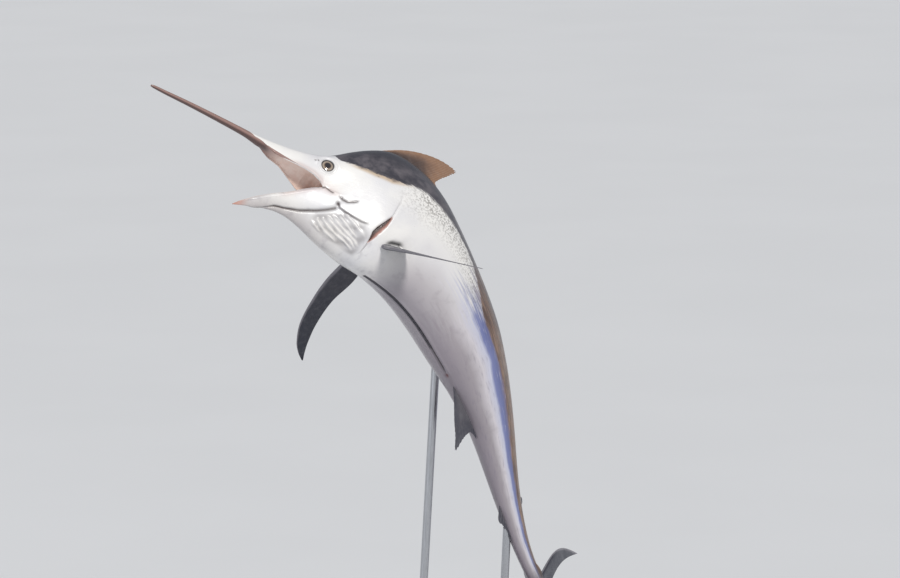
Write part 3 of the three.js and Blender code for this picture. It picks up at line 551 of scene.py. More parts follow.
def shape_eye(at):
    """Lids and a brow round the pit that the eyeball fills, and two nostrils in front of it."""
    centre, facing = eye_place(1)
    offset = at.flat - centre
    radial = np.linalg.norm(offset - (offset @ facing)[..., None] * facing, axis=-1)
    near = np.linalg.norm(offset, axis=-1) < 80
    rim = EYE.radius
    lids = 4.2 * bell(radial - rim - 4.5, 4.2) - 11 * (1 - ease(rim - 4, rim + 0.5, radial))
    brow = 3.5 * bell(radial - 46, 12) * ease(-20, 20, offset[..., 2]) - 2.2 * bell(radial - 36, 4)
    at.out += np.where(near, lids + brow, 0)
    # Painted shade round the eyeball, in its pit.
    at.socket += np.where(near, bell(radial - rim - 0.5, 2.6), 0)
    for s, n in NOSTRILS:
        nostril = bell(np.hypot(at.s - s, at.n - n), 3.6)
        at.out -= 4 * nostril
        # Painted shade in the nostrils.
        at.crease += nostril
    at.out += 1.5 * bell(np.hypot(at.s - NOSE[0], at.n - NOSE[1]), 14)


def shape_belly(at):
    """The groove for the pelvic fins between low banks, with the vent behind it."""
    below = (180 - at.deg) * at.scale
    start, end = GROOVE.start, GROOVE.end
    at.out -= GROOVE.depth * window(at.s, start, end, 60) * bell(below, 9)
    at.out += 2.5 * window(at.s, start - 30, end + 20, 60) * bell(below - 20, 9)
    vent = bell(np.hypot(at.s - VENT, below), 9)
    at.out -= 4 * vent
    # The vent's dark red is partly its own colour and partly painted shade. The dark line along the groove is
    # painted shade.
    at.vent += vent
    at.groove += bell(below, 4.2) * window(at.s, start, VENT, 40)


def shape_flank(at):
    """The socket over the pectoral fin's root, keels on the tail stock and gentle unevenness."""
    d, fade, _, _ = from_line(at, SOCKET, 0.35)
    socket = bell(d, 8.5) * fade
    at.out -= SOCKET_DEPTH * socket
    # Painted shade in the socket over the pectoral fin's root.
    at.socket += socket
    start, end = KEEL.start, KEEL.end
    level = KEEL.apart + (at.s - start) * KEEL.spread
    swell = np.sin(np.pi * np.clip((at.s - start) / (end - start), 0, 1)) ** 0.8
    at.out += KEEL.height * swell * bell(np.abs(at.n) - level, 6) * (at.s > start)
    for height, place, radius in SWELLINGS:
        at.out += height * bell(from_spot(at, *place), radius)
    for height, degrees, width, reach in FLANK_BANDS:
        at.out += height * bell((at.deg - degrees) * at.scale, width) * window(at.s, *reach)


def relief(s, degrees, v, n):
    """How far the skin stands out from its plain section, and the masks that colour it. Both sides are
    alike."""
    blank = {name: np.zeros(s.shape) for name in ("out",) + MASKS}
    at = Sizes(s=s, deg=degrees, n=n, flat=np.stack([s, np.abs(v), n], -1), **blank)
    at.scale = millimetres_per_degree(s)
    for shape in (shape_jaw, shape_throat, shape_gills, shape_eye, shape_belly, shape_flank):
        shape(at)
    return at.out, {name: np.clip(getattr(at, name), 0, 1) for name in MASKS}


def stations():
    parts = [np.linspace(a, b, int(round((b - a) / step)), endpoint=False) for a, b, step in RINGS]
    return np.concatenate(parts + [[TAIL_END]])


def edge_angle(line, s):
    """The angle at which a line of (s, n) along the mouth lies on the sections, as a column."""
    s = np.minimum(s, MOUTH_CORNER[0])
    top, bottom, _, middle, fullness = BODY(s)
    n = broken(line, s)
    upwards = np.clip((n - middle) / (top - middle), 0, 1) ** (fullness / 2)
    downwards = np.clip((n - middle) / (middle - bottom), -1, 0)
    return np.arccos(np.where(n > middle, upwards, downwards))[:, None]


def snout(S, angle, v, n):
    """Sections of the upper jaw, turned forwards into the bill's round section, and how far they are."""
    behind = S > HEAD_START
    top, bottom, half = BILL(S)
    jaw_top, _, jaw_half, _, _ = BODY(S)
    top, half = np.where(behind, jaw_top, top), np.where(behind, jaw_half, half)
    bottom = np.where(behind, broken(LEFT_EDGE, S) + LEFT_EDGE_ABOVE_BILL, bottom)
    flatter = ease(*SNOUT_END, S)
    round_n = (top + bottom) / 2 + (top - bottom) / 2 * np.cos(angle)
    return mix(half * np.sin(angle), v, flatter), mix(round_n, n, flatter), flatter


def upper_skin():
    """From the mouth's edge on the right over the back to the left, with the bill in front."""
    s = stations()
    t = np.linspace(-1, 1, UPPER_COLUMNS + 1)[None, :]
    edge = np.where(t > 0, edge_angle(LEFT_EDGE, s), edge_angle(RIGHT_EDGE, s))
    S = s[:, None] + 0 * t
    v, n = section(BODY(S), t * edge)
    v, n, _ = snout(S, t * np.pi / 2, v, n)
    flat, values = outer_skin(S, v, n, np.abs(np.degrees(t * edge)), np.degrees(edge))
    values["bill"] = ease(4, -4, flat[..., 2] - broken(BROWN_EDGE, S))
    return flat, values


def lower_skin():
    """From the lower jaw's rim on the left under the throat and belly to the right."""
    s = stations()
    s = s[s >= HEAD_START]
    start = edge_angle(LOWER_RIM, s)
    angle = start + (2 * np.pi - 2 * start) * np.linspace(0, 1, LOWER_COLUMNS + 1)[None, :]
    S = s[:, None] + 0 * angle
    v, n = section(BODY(S), angle)
    degrees = np.degrees(angle)
    return outer_skin(S, v, n, np.where(degrees > 180, 360 - degrees, degrees), np.degrees(start))


def outer_skin(S, v, n, degrees, edge):
    """A grid of the outer skin with its relief and a soft lip along the mouth's edge, and its values."""
    scale = millimetres_per_degree(S)
    out, masks = relief(S, degrees, v, n)
    from_edge = np.abs(degrees - edge) * scale
    lip = bell(from_edge - 3, 5) * ease(MOUTH_CORNER[0] + 2, MOUTH_CORNER[0] - 30, S) * ease(0, 60, S)
    at_mouth = np.where(S < MOUTH_CORNER[0], ease(0, 9, from_edge), 1)
    out = out * ease(-60, 40, S) * at_mouth + 1.6 * lip
    flat = np.stack([S, v, n], -1)
    normal = np.cross(np.gradient(flat, axis=0), np.gradient(flat, axis=1))
    size = np.maximum(np.linalg.norm(normal, axis=-1, keepdims=True), 1e-9)
    return flat + normal / size * out[..., None], dict(
        masks, back=(broken(BACK_EDGE, S) - degrees) * scale / 100, turn=degrees / 180,
        rose=window(S, 150, 420, 60) * bell(from_edge, 14) * 0.6,
    )


def lining(flat, left, right, depth_rows, direction):
    """A jaw's lining between two columns of the outer skin, its left and its right edge: round lips, a
    vault or a bowl between them, and a throat that closes behind."""
    corner_s, corner_n = MOUTH_CORNER
    use = flat[:, 0, 0] <= THROAT_END
    sources = [flat[use][:, left], flat[use][:, right]]
    S = sources[0][:, :1].copy()
    past = S > corner_s
    closing = np.sqrt(np.clip(1 - ((S - corner_s) / (THROAT_END - corner_s)) ** 2, 0, 1))
    narrower = 6 * ease(corner_s, corner_s + 15, S)
    turn = np.linspace(0, np.pi, LIP_COLUMNS + 1)[None, :-1]
    edges, lips = [], []
    for source, side in zip(sources, (1, -1)):
        width = side * source[:, 1:2]
        at_corner = np.interp(corner_s, S[:, 0], width[:, 0])
        width = np.where(past, (at_corner - narrower) * closing, width)
        edge = np.where(past, corner_n - 0.12 * (S - corner_s), source[:, 2:3])
        lip = LIP * ease(corner_s + 2, corner_s - 40, S) * np.clip(width / 12, 0.15, 1)
        edges.append((np.maximum(width - 2 * lip, 0.2), edge))
        lips.append((side * (width - lip + lip * np.cos(turn)), edge - direction * lip * np.sin(turn)))
    across = np.linspace(np.pi / 2, -np.pi / 2, LINING_COLUMNS + 1)[None, :]
    hollow = direction * broken(depth_rows, S) * np.abs(np.cos(across)) ** 0.75
    middle = (
        np.where(across > 0, edges[0][0], edges[1][0]) * np.sin(across),
        mix(edges[1][1], edges[0][1], (1 + np.sin(across)) / 2) + hollow,
    )
    v, n = (np.concatenate([lips[0][k], middle[k], lips[1][k][:, ::-1]], axis=1) for k in (0, 1))
    return S + 0 * v, v, n, sources, ~past[:, 0]


def joined(S, v, n, sources, open_rows):
    """A lining with its edges moved onto the outer skin's, and the lips eased along."""
    places = [S, v, n]
    for source, end, step in ((sources[0], 0, 1), (sources[1], -1, -1)):
        for k, values in enumerate(places):
            gap = np.where(open_rows, source[:, k] - values[:, end], 0)
            for i in range(LIP_COLUMNS):
                values[:, end + step * i] += gap * (1 - i / LIP_COLUMNS)
    return np.stack(places, -1)


def inside_mouth(flat, start, end):
    """Which of a lining's points lie inside the mouth, past its front and between its lips."""
    v = np.abs(flat[..., 1])
    return ease(start, end, flat[..., 0]) * ease(0.02, 0.12, 1 - v / (v[:, :1] + 1))


def palate(upper):
    """The underside of the bill and the roof of the mouth, back to the throat."""
    S, v, n, sources, open_rows = lining(upper, -1, 0, VAULT, 1)
    angle = np.linspace(np.pi / 2, 3 * np.pi / 2, S.shape[1])[None, :]
    v, n, flatter = snout(S, angle, v, n)
    flat = joined(S, v, n, sources, open_rows)
    turn = mix(1 - np.abs(angle / np.pi - 1), MOUTH_TURN, flatter)
    return flat, dict(
        inner=inside_mouth(flat, 50, 150), turn=turn, back=OFF_BACK, bill=1 - ease(80, 190, flat[..., 0]),
    )


def mouth_floor(lower):
    """From the lower jaw's tip to the throat."""
    flat = joined(*lining(lower, 0, -1, BOWL, -1))
    return flat, dict(inner=inside_mouth(flat, 20, 70), turn=MOUTH_TURN, back=OFF_BACK)


def tail_end(upper, lower):
    """The end of the tail stock, rounded off between the lobes of the tail fin."""
    s, v, n = np.moveaxis(np.concatenate([upper[-1], lower[-1][1:-1]])[None], -1, 0)
    part = np.sin(np.linspace(0, np.pi / 2, CAP.rings))[:, None]
    narrow = np.sqrt(np.maximum(1 - part**2, CAP.tip ** 2))
    flat = np.stack([s + CAP.length * part, v * narrow, n * (1 - 0.15 * part**2)], -1)
    degrees = np.abs(np.degrees(np.arctan2(v, n)))
    back = (BACK_EDGE[-1][1] - degrees) * millimetres_per_degree(TAIL_END) / 100
    return flat, dict(turn=degrees / 180, back=back)


def make_skin():
    upper, lower = upper_skin(), lower_skin()
    grids = [upper, lower, palate(upper[0]), mouth_floor(lower[0]), tail_end(upper[0], lower[0])]
    points, faces, kept = [], [], {name: [] for name in ("flat",) + KEPT}
    flipped, ring = 2, 4  # the places of the palate, seen from below, and of the tail's end
    count = 0
    for k, (flat, values) in enumerate(grids):
        quads = grid_faces(*flat.shape[:2], closed=k == ring)
        faces.append((quads[:, ::-1] if k == flipped else quads) + count)
        points.append(bend(*np.moveaxis(flat, -1, 0)).reshape(-1, 3))
        kept["flat"].append(flat.reshape(-1, 3) * MM)
        for name in KEPT:
            value = np.broadcast_to(values.get(name, 0.0), flat.shape[:2])
            kept[name].append(value.ravel().astype(np.float32))
        count += len(points[-1])
    kept = {name: np.concatenate(parts) for name, parts in kept.items()}
    return build("marlin_skin", *welded(np.concatenate(points), np.concatenate(faces), kept))


def make_eye(name, side):
    """An eyeball's front: a dome over the pit with a slightly proud lens."""
    centre, facing = eye_place(side)
    across = unit(np.cross(facing, [0, 0, 1]))
    rings, around = 28, 64
    r = np.linspace(0, 1, rings)[:, None]
    angle = circle(around)[None, :]
    out = r * EYEBALL.radius
    height = EYEBALL.dome * np.sqrt(1 - r**2 * 0.92) - EYEBALL.sunk
    height = height + EYEBALL.lens * (1 - ease(0.52, 0.7, r))
    parts = np.stack([out * np.cos(angle), out * np.sin(angle), height + 0 * angle], -1)
    flat = centre + parts @ np.stack([across, np.cross(facing, across), facing])
    values = dict(rim=(r + 0 * angle).ravel(), flat=parts.reshape(-1, 3) * MM)
    points = bend(*np.moveaxis(flat, -1, 0)).reshape(-1, 3)
    return build(name, *welded(points, grid_faces(rings, around, closed=True), values))


# Fins

def fin(name, sheet, put, rays, membrane, ray, rows, notch, seed=1, branch=0.5, flesh=0.0):
    """A thin sheet of rays, raised on both faces. u runs along its root and r out to its margin."""
    columns = rays * RAY_COLUMNS
    u = np.linspace(0, 1, columns + 1)[:, None]
    r = np.linspace(0, 1, rows + 1)[None, :] ** 0.9
    phase = u * rays
    wave, double = (0.5 - 0.5 * np.cos(turns * np.pi * phase) for turns in (2, 4))
    ridge = mix(wave**2 + 0 * r, np.maximum(wave**2 * 0.5, double**2), branch * ease(0.45, 0.85, r))
    jag = np.interp(phase, np.arange(rays + 1), np.random.default_rng(seed).uniform(0.3, 1, rays + 1))
    U = u + 0 * r
    a, b = sheet(U, r * (1 - notch * (1 - wave) * jag * ease(0.7, 1, r)))
    thick = membrane * (1 - 0.62 * r) + ray * ridge * (1 - 0.72 * r)
    thick += flesh * (1 - r) ** 2.2 * np.sin(np.pi * u**0.6)
    margin = np.minimum(1, (1 - r) / 0.02) ** 0.5
    ends = np.sqrt(np.clip(np.minimum(u, 1 - u) * columns / 2, 0, 1))
    thick = np.maximum(thick * margin * ends, THINNEST)
    layers = [put(a, b, side * thick / 2).reshape(-1, 3) for side in (1, -1)]
    quads = grid_faces(*U.shape)
    index = np.arange(U.size).reshape(U.shape)
    rim = np.concatenate([index[:, 0], index[-1, 1:], index[-2::-1, -1], index[0, -2:0:-1]])
    following = np.roll(rim, -1)
    walls = np.stack([rim, rim + U.size, following + U.size, following], -1)
    faces = np.concatenate([quads, quads[:, ::-1] + U.size, walls])
    values = dict(ray=ridge + 0 * U, out=r + 0 * U, chord=U)
    values = {key: np.tile(value.ravel(), 2) for key, value in values.items()}
    values["sheet"] = np.tile(np.stack([a, b, 0 * a], -1).reshape(-1, 3) * MM, (2, 1))
    return build(name, np.concatenate(layers), faces, values)


def median_fin(name, table, side, **form):
    shape = curve([(i, *row) for i, row in enumerate(table)])

    def outline(s):
        top, bottom = BODY(s)[:2]
        return top if side > 0 else -bottom

    def sheet(u, r):
        root, margin, height = shape(u * (len(table) - 1))
        return mix(root, margin, r), mix(outline(root) - SUNK, outline(margin) + height, r)

    return fin(name, sheet, lambda s, n, v: bend(s, v, side * n), **form)


def pectoral(name, side, out, chord):
    _, tailward, left, up = frame_at(float(PECTORAL.s))

    def world(parts):
        return unit(left * side * parts[0] + tailward * parts[1] + up * parts[2])

    direction, across = world(out), world(chord)
    across = unit(across - direction * (across @ direction))
    normal = np.cross(direction, across)
    root = bend(PECTORAL.s, side * PECTORAL.half, PECTORAL.n)
    shape = curve(PECTORAL_ROWS)

    def sheet(u, r):
        a = mix(-PECTORAL.root, PECTORAL.length, r)
        lead, trail = shape(a)
        return a, mix(lead, trail, u)

    def put(a, b, c):
        return root + a[..., None] * direction + b[..., None] * across + c[..., None] * normal

    return fin(name, sheet, put, **PECTORAL_FORM)


def tail_lobe(name, side):
    tail = TAIL_FIN

    def sheet(u, r):
        m = u**1.25
        hollow = tail.crescent * np.sin(np.pi * m) * (1 - 0.45 * m)
        margin_s = BODY_LENGTH + mix(tail.reach, 5, m) - hollow
        lead = tail.bow * np.sin(np.pi * r) * (1 - u) ** 1.2
        root_n, margin_n = mix(tail.root - SUNK, 0.2, u), mix(tail.span, 0.2, m)
        return mix(TAIL_END - 12, margin_s, r) - lead * 0.8, mix(root_n, margin_n, r) + lead * 0.6

    return fin(name, sheet, lambda s, n, v: bend(s, v, side * n), **TAIL_LOBE_FORM)


def pelvic(name, side):
    """A long thin fin folded into the groove: fine rays that lie together."""
    s = np.linspace(GROOVE.start - 2, PELVIC.end, 90)[:, None]
    part = np.linspace(0, 1, len(s))[:, None]
    around = circle(16)
    rays = np.abs(np.cos(around * 1.5))
    radius = mix(*PELVIC.radius, part) * (1 - 0.22 * rays**6)
    v = side * PELVIC.apart * (1 - 0.3 * part) + radius * np.cos(around)
    n = BODY(s)[1] + PELVIC.above + radius * np.sin(around)
    S = s + 0 * v
    values = dict(ray=(rays + 0 * S).ravel(), out=(part + 0 * S).ravel(), chord=np.zeros(S.size))
    values["sheet"] = np.stack([S, v, n], -1).reshape(-1, 3) * MM
    return tube(name, bend(S, v, n), values)


# The stand

def lathe(name, profile, start, end):
    """A turned piece along the line from start to end: rows of (distance along, radius)."""
    axis = unit(end - start)
    across = unit(np.cross(axis, [0, 1, 0.2]))
    angle = circle(48)[:, None]
    ring = np.cos(angle) * across + np.sin(angle) * np.cross(axis, across)
    return tube(name, [start + axis * along + radius * ring for along, radius in profile], sharp=32)


def rounded_base():
    """The base, with rounded corners and eased edges."""
    corner = STAND.corner
    turns = np.linspace(0, np.pi / 2, 13)
    rings = []
    for level, rise, inset in BASE_EDGE:
        ring = []
        for quarter, (cx, cy) in enumerate([(1, 1), (-1, 1), (-1, -1), (1, -1)]):
            x0, y0 = cx * (STAND.length / 2 - corner), cy * (STAND.width / 2 - corner)
            for a in turns + quarter * np.pi / 2:
                x, y = x0 + (corner - inset) * math.cos(a), y0 + (corner - inset) * math.sin(a)
                ring.append([x, y, level * STAND.height + rise])
        rings.append(ring)
    return tube("display_base", rings, sharp=38)


def rod_and_plate(name, rod):
    """A slender rod from the base into the body, and the round plate at its foot."""
    v, n = section(BODY(float(rod.s)), math.radians(rod.angle))
    target = bend(float(rod.s), v, n)
    start = np.array([*rod.foot, STAND.height + 0.3])
    radius, foot, high = STAND.rod, STAND.foot, STAND.foot_height
    reach = [(0, radius), (np.linalg.norm(target - start) + ROD_INSIDE, radius)]
    edge = [(level * high + rise, foot - inset) for level, rise, inset in PLATE_EDGE] + [(high, radius + 4)]
    return (
        lathe(f"rod_{name}", reach, start + unit(target - start) * 2, target),
        lathe(f"foot_{name}", edge, start, start + np.array([0, 0, high])),
    )


# Materials

class Output:
    """A node's output. Sums and products of outputs are nodes too."""

    def __init__(self, recipe, socket):
        self.recipe, self.socket = recipe, socket

    def __add__(self, other):
        return self.recipe.math("ADD", self, other)

    def __sub__(self, other):
        return self.recipe.math("SUBTRACT", self, other)

    def __mul__(self, other):
        return self.recipe.math("MULTIPLY", self, other)

    def around(self, share):
        """Unevenness about nought, from an output about a half."""
        return (self - 0.5) * share


def paint(colour):
    """A colour given in the usual 0 to 255, as linear light with full alpha. An output stays as it is."""
    if isinstance(colour, Output):
        return colour
    parts = [c / 255 for c in colour]
    return (*(c / 12.92 if c <= 0.04045 else ((c + 0.055) / 1.055) ** 2.4 for c in parts), 1.0)


class Recipe:
    """A material under construction: each call adds a node and gives back its output."""

    def __init__(self, name):
        self.material = bpy.data.materials.new(name)
        self.material.use_nodes = True
        self.tree = self.material.node_tree

    def feed(self, node, inputs):
        for key, value in inputs.items():
            if isinstance(value, Output):
                self.tree.links.new(value.socket, node.inputs[key])
            else:
                node.inputs[key].default_value = value

    def node(self, kind, output, inputs, **settings):
        node = settle(self.tree.nodes.new("ShaderNode" + kind), settings)
        self.feed(node, inputs)
        return Output(self, node.outputs[output])

    def value(self, name):
        return self.node("Attribute", "Fac", {}, attribute_name=name)

    def vector(self, name, scale=None):
        return self.scaled(self.node("Attribute", "Vector", {}, attribute_name=name), scale)

    def place(self, scale=None):
        return self.scaled(self.node("TexCoord", "Object", {}), scale)

    def scaled(self, vector, scale):
        if scale is None:
            return vector
        return self.node("VectorMath", "Vector", {0: vector, 1: scale}, operation="MULTIPLY")

    def noise(self, vector, scale, detail=3.0, rough=0.5, distortion=0.0):
        return self.node("TexNoise", "Fac", dict(
            Vector=vector, Scale=scale, Detail=detail, Roughness=rough, Distortion=distortion,
        ))

    def cells(self, vector, scale):
        return self.node("TexVoronoi", "Distance", dict(Vector=vector, Scale=scale))

    def math(self, operation, a, b):
        return self.node("Math", "Value", {0: a, 1: b}, operation=operation)

    def span(self, value, low, high, to_low=0.0, to_high=1.0):
        """A smooth step of a value from low to high."""
        inputs = {"Value": value, "From Min": low, "From Max": high, "To Min": to_low, "To Max": to_high}
        return self.node("MapRange", "Result", inputs, interpolation_type="SMOOTHSTEP")

    def blend(self, factor, a, b):
        return self.node("Mix", 2, {0: factor, 6: paint(a), 7: paint(b)}, data_type="RGBA")

    def coats(self, colour, *coats):
        """Colours laid over each other, each where its factor says."""
        for factor, shade in coats:
            colour = self.blend(factor, colour, shade)
        return colour

    def mottle(self, noise, a, b, low=0.35):
        """Two colours in soft patches."""
        return self.blend(self.span(noise, low, 0.7), a, b)

    def ramp(self, factor, stops):
        output = self.node("ValToRGB", "Color", dict(Fac=factor))
        ramp = output.socket.node.color_ramp
        while len(ramp.elements) < len(stops):
            ramp.elements.new(0.5)
        for element, (position, colour) in zip(ramp.elements, stops):
            element.position, element.color = position, paint(colour)
        return output

    def bump(self, height, strength, distance, **under):
        return self.node("Bump", "Normal", dict(Height=height, Strength=strength, Distance=distance, **under))

    def finish(self, **inputs):
        inputs = {key.replace("_", " "): value for key, value in inputs.items()}
        self.feed(self.tree.nodes["Principled BSDF"], inputs)
        return self.material


def skin_inputs(r):
    """What the skin's colours are mixed from: its places on the straight fish and some unevenness."""
    flat = r.vector("flat")
    return Sizes(
        flat=flat, s=r.node("SeparateXYZ", "X", {0: flat}), n=r.node("SeparateXYZ", "Z", {0: flat}),
        turn=r.value("turn"), back=r.value("back"),
        broad=r.noise(flat, 6), medium=r.noise(flat, 24, 4, 0.6), fine=r.noise(flat, 120, 3, 0.6),
        streaks=r.noise(r.vector("flat", (1, 9, 9)), 14, 4, 0.6),
        bands=r.noise(r.vector("flat", (0.35, 5, 5)), 20, 3, 0.6),
    )


def pale_side(r, at):
    """White on head and shoulder, greyer round the belly and throat as painted shade, with lavender and steel
    bands behind, the pale lavender partly painted highlight, and streaks of painted sheen.
    """
    white = r.mottle(at.broad, (240, 238, 234), (222, 221, 223))
    angle = at.turn + at.broad.around(0.1)
    # Shining: streaks of painted sheen on the rear flank.
    shining = r.span(at.bands, 0.55, 0.8, 0.0, 0.45) * r.span(angle, 0.76, 0.64)
    dull = r.span(at.bands, 0.48, 0.22, 0.0, 0.45)
    rear = r.coats(r.ramp(angle, REAR_SHADES), (shining, (226, 224, 234)), (dull, (120, 112, 128)))
    # Painted shade on the underside of the head and throat.
    throat = r.span(angle, 0.66, 0.95) * r.span(at.s, 0.66, 0.25)
    blotch = r.span(at.medium, 0.52, 0.74) * r.span(angle, 0.52, 0.80)
    return r.coats(
        white, (r.span(at.s, 0.60, 0.90), r.ramp(angle, FRONT_SHADES)),
        (r.span(at.s + at.bands.around(0.6), 0.96, 1.26), rear),
        (throat * 0.8, (176, 169, 168)), (blotch * 0.3, (140, 134, 140)),
    )


def dark_back(r, at, colour):
    """Slate at nape and tail, bronze between, with a gold edge in front and speckles behind the gills."""
    slate = r.mottle(at.medium, (56, 54, 62), (98, 93, 98))
    bronze = r.mottle(at.bands, (84, 62, 52), (140, 112, 92))
    bronze = r.blend(r.span(at.fine, 0.58, 0.72) * 0.5, bronze, (150, 92, 62))
    dark = r.coats(slate, (r.span(at.s, 0.95, 1.2), bronze), (r.span(at.back, 0.5, 1.4), (44, 43, 52)))
    dots = r.span(r.cells(at.flat, 85), 0.34, 0.14)
    zone = r.span(at.s, 0.56, 0.74) * r.span(at.s, 1.22, 1.0) * r.span(at.back, -1.5, -0.05)
    spots = zone * r.math("MAXIMUM", dots * 0.8, r.span(at.fine, 0.46, 0.62))
    gold = r.span(at.back, -0.17, -0.02) * r.span(at.s, 0.36, 0.46) * r.span(at.s, 0.66, 0.56)
    frayed = at.back + at.streaks.around(0.35)
    return r.coats(
        colour, (spots * 0.8, (112, 106, 100)), (gold * 0.7, (188, 156, 112)),
        (r.span(frayed, -0.04, 0.08), dark), (r.span(at.s, 2.28, 2.45, 0.0, 0.9), (54, 53, 62)),
    )


def bill_and_tips(r, at, colour):
    """The brown bill with its pink sides and a darker underside of painted shade, the rosy lips and the lower
    jaw's pink tip.
    """
    # The darker brown on the bill's underside is painted shade.
    brown = r.coats(
        r.mottle(at.streaks, (104, 82, 74), (144, 118, 108), 0.3),
        (r.span(at.turn, 0.25, 0.48), (150, 118, 110)), (r.span(at.turn, 0.58, 0.78), (92, 68, 64)),
    )
    frayed = r.value("bill") + at.streaks.around(0.5)
    tip = r.span(at.s, 0.075, 0.01) * r.span(at.n, -0.15, -0.20)
    return r.coats(
        colour, (r.span(frayed, 0.25, 0.7), brown), (tip * 0.8, (206, 142, 120)),
        (r.value("rose") * 0.6, (190, 146, 134)),
    )


def folds_and_openings(r, at, colour):
    """Furrows, socket, groove, vent, the gills inside their slit and the lining of the mouth. The darks of
    furrows, socket, groove and slit are painted shade, the pale on the throat rays is a painted highlight,
    and the vent's dark red is partly painted shade.
    """
    strands = r.noise(r.vector("flat", (1, 5, 5)), 60, 4, 0.65)
    flesh = r.mottle(strands, (184, 132, 120), (208, 166, 154))
    shadow = r.mottle(strands, (48, 34, 32), (88, 60, 54))
    gills = r.blend(r.span(r.value("deep"), 0.35, 0.8), flesh, shadow)
    mouth = r.mottle(at.medium, (234, 206, 192), (244, 224, 212))
    # Darker towards the throat: painted shade deep in the mouth.
    mouth = r.blend(r.span(at.s, 0.27, 0.42), mouth, (184, 144, 130))
    folds = [(r.value(mask) * share, shade) for mask, share, shade in FOLD_SHADES]
    return r.coats(colour, *folds, (r.value("gill"), gills), (r.value("inner"), mouth))


def skin_material():
    r = Recipe("marlin_skin")
    at = skin_inputs(r)
    colour = bill_and_tips(r, at, dark_back(r, at, pale_side(r, at)))
    colour = folds_and_openings(r, at, colour)
    rough = r.span(at.medium, 0.3, 0.7, 0.28, 0.42) + r.value("bill") * 0.12 + r.value("crease") * 0.4
    normal = r.bump(at.streaks * 0.6 + at.fine * 0.4, 0.35, 0.0022)
    pores = r.noise(r.vector("flat", (1, 2.6, 2.6)), 170, 2)
    normal = r.bump(pores, 0.25, 0.0012, Normal=normal)
    return r.finish(Base_Color=colour, Roughness=rough, Normal=normal, Coat_Weight=0.3, Coat_Roughness=0.16)


def fin_material(name, base, tip, ray, lead=None):
    """A fin from its root's colour to its margin's, with its rays and, where given, its leading edge."""
    r = Recipe(name)
    sheet = r.vector("sheet")
    soft, grain = r.noise(sheet, 14, 4, 0.6), r.noise(sheet, 42)
    film = r.blend(0.35, tip, (243.4, 243.4, 245.8))
    colour = r.coats(
        base, (r.span(r.value("out") + soft.around(0.4), 0.1, 0.75), tip),
        (r.span(grain, 0.42, 0.75, 0.0, 0.12), film), (r.value("ray") * 0.6, ray),
    )
    if lead:
        colour = r.blend(r.span(r.value("chord") + soft.around(0.1), 0.13, 0.03), colour, lead)
    rough, normal = r.span(soft, 0.3, 0.7, 0.34, 0.5), r.bump(grain + soft * 0.6, 0.2, 0.0012)
    return r.finish(Base_Color=colour, Roughness=rough, Normal=normal, Coat_Weight=0.2, Coat_Roughness=0.2)


def eye_material():
    """A wide dark pupil in a bronze iris with a dark rim."""
    r = Recipe("eye_gloss")
    streak = r.noise(r.vector("flat"), 420, 3, 0.6)
    colour = r.ramp(r.value("rim") + streak.around(0.06), EYE_SHADES)
    return r.finish(Base_Color=colour, Roughness=0.1, Coat_Weight=1.0, Coat_Roughness=0.02)


def wood_material():
    r = Recipe("stained_wood")
    rings, warp = r.noise(r.place((1.2, 14, 14)), 3.0, 6, 0.62, 0.6), r.noise(r.place(), 3, 2)
    pores = r.noise(r.place((6, 160, 160)), 1.0, 2)
    grain = rings * 0.8 + warp * 0.25
    colour = r.ramp(grain, WOOD_SHADES)
    colour = r.blend(r.span(pores, 0.60, 0.72, 0.0, 0.6), colour, (26, 16, 12))
    normal, rough = r.bump(grain - pores * 0.3, 0.15, 0.0008), r.span(rings, 0.3, 0.7, 0.28, 0.42)
    return r.finish(Base_Color=colour, Roughness=rough, Normal=normal, Coat_Weight=0.4, Coat_Roughness=0.18)


def steel_material():
    r = Recipe("brushed_steel")
    brush = r.noise(r.place((900, 900, 6)), 1.0, 3, 0.7)
    colour = r.mottle(brush, (168, 170, 174), (200, 202, 206), 0.3)
    rough = r.span(brush, 0.3, 0.7, 0.22, 0.34) + r.noise(r.place(), 9) * 0.1
    return r.finish(Base_Color=colour, Metallic=1.0, Roughness=rough, Normal=r.bump(brush, 0.12, 0.0004))


def floor_material():
    r = Recipe("studio_floor")
    colour = r.mottle(r.noise(r.place(), 0.6), (226, 227, 228), (228, 229, 230), 0.3)
    return r.finish(Base_Color=colour, Roughness=0.75)


# The scene

def set_camera():
    """The photograph's view, with the camera's place measured from the bill's tip."""
    pitch = math.radians(CAMERA.pitch)
    view = np.array([0, math.cos(pitch), -math.sin(pitch)])
    up = np.array([0, math.sin(pitch), math.cos(pitch)])
    tip = bend(-BILL_LENGTH, 0, 0) * MM
    at = tip - view * CAMERA.distance + np.array([CAMERA.right, 0, 0]) - up * CAMERA.below
    camera = add("photo_view", settle(bpy.data.cameras.new("photo_view"), LENS), at)
    camera.rotation_euler = (math.pi / 2 - pitch, 0, 0)
    bpy.context.scene.camera = camera


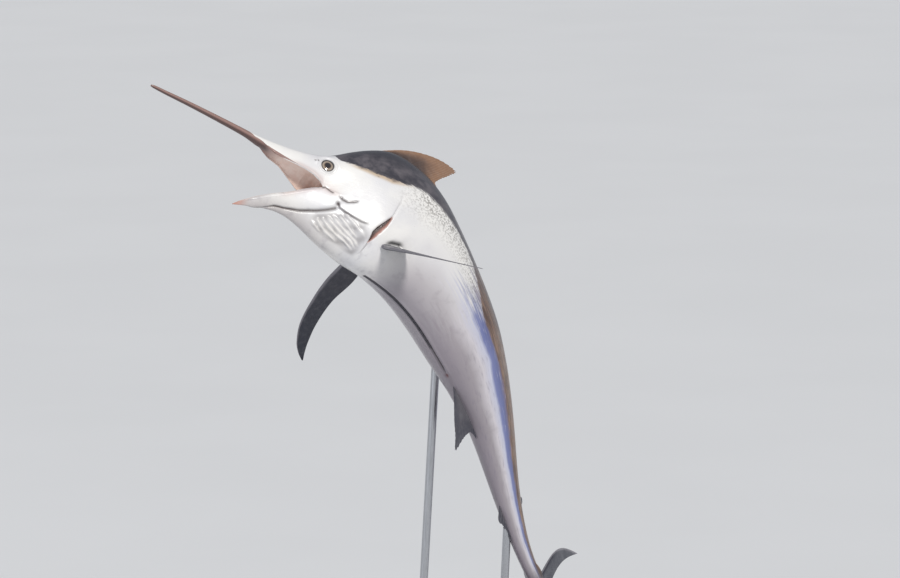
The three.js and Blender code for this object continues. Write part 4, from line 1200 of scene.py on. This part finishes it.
def set_studio():
    """A pale floor under a soft sun from above in front, with a faint light from the left."""
    reach = STUDIO.floor / MM
    corners = [[-reach, -reach, 0], [reach, -reach, 0], [reach, reach, 0], [-reach, reach, 0]]
    floor = build("studio_floor", corners, [[0, 1, 2, 3]])
    floor.data.materials.append(floor_material())
    world = bpy.data.worlds.new("studio")
    world.use_nodes = True
    sky = world.node_tree.nodes["Background"].inputs
    sky["Color"].default_value, sky["Strength"].default_value = STUDIO.sky, STUDIO.world
    scene = bpy.context.scene
    scene.world = world
    scene.view_settings.view_transform = "Standard"
    head = np.array(STUDIO.head)
    sun, fill = bpy.data.lights.new("sun", "SUN"), bpy.data.lights.new("fill", "AREA")
    add("sun", settle(sun, SUN), head + np.array(STUDIO.sun_from) * 8, head)
    add("fill", settle(fill, FILL), STUDIO.fill_at, head)


def dress(piece, material, slot, *nodes):
    piece.data.materials.append(material)
    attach(piece, "root")
    if nodes:
        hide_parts(*nodes)


def main():
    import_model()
    set_camera()
    set_studio()

    dress(make_skin(), skin_material(), "skin", *SKIN_NODES)
    eye = eye_material()
    for name, side in SIDES.items():
        dress(make_eye(f"eye_{name}_ball", side), eye, "eye", f"eye_{name}")

    dark_fin = fin_material("slate_fin", (52, 51, 60), (34, 38, 52), (74, 76, 88), (126, 123, 130))
    small_fin = fin_material("grey_fin", (84, 82, 88), (46, 48, 60), (104, 102, 108))
    # The sail's brown margin is painted light: sun shining through the thin membrane, whose own colour is
    # dark. The darker root is partly painted shade.
    backlit_sail_fin = fin_material("backlit_sail_fin", (64, 57, 58), (160, 124, 98), (98, 72, 58))
    dress(median_fin("first_dorsal_sail", SAIL_ROWS, 1, **SAIL_FORM), backlit_sail_fin, "sail", *SAIL_NODES)
    for name, table, side, form in SMALL_FINS:
        dress(median_fin(name, table, side, **form), small_fin, "fins", f"{name}_fin")
    for name, pose in PECTORAL_POSES.items():
        dress(pectoral(f"pectoral_{name}", **pose), dark_fin, "fins", f"pectoral_fin_{name}")
    for name, side in SIDES.items():
        dress(pelvic(f"pelvic_{name}", side), small_fin, "fins", f"pelvic_fin_{name}")
    for name, side in (("upper", 1), ("lower", -1)):
        dress(tail_lobe(f"tail_lobe_{name}", side), dark_fin, "fins", f"caudal_fin_{name}")

    dress(rounded_base(), wood_material(), "stand_base", "stand_base")
    steel = steel_material()
    for name, rod in RODS.items():
        piece, plate = rod_and_plate(name, rod)
        dress(piece, steel, "stand_rods", f"stand_rod_{name}")
        dress(plate, steel, "stand_rods")


main()
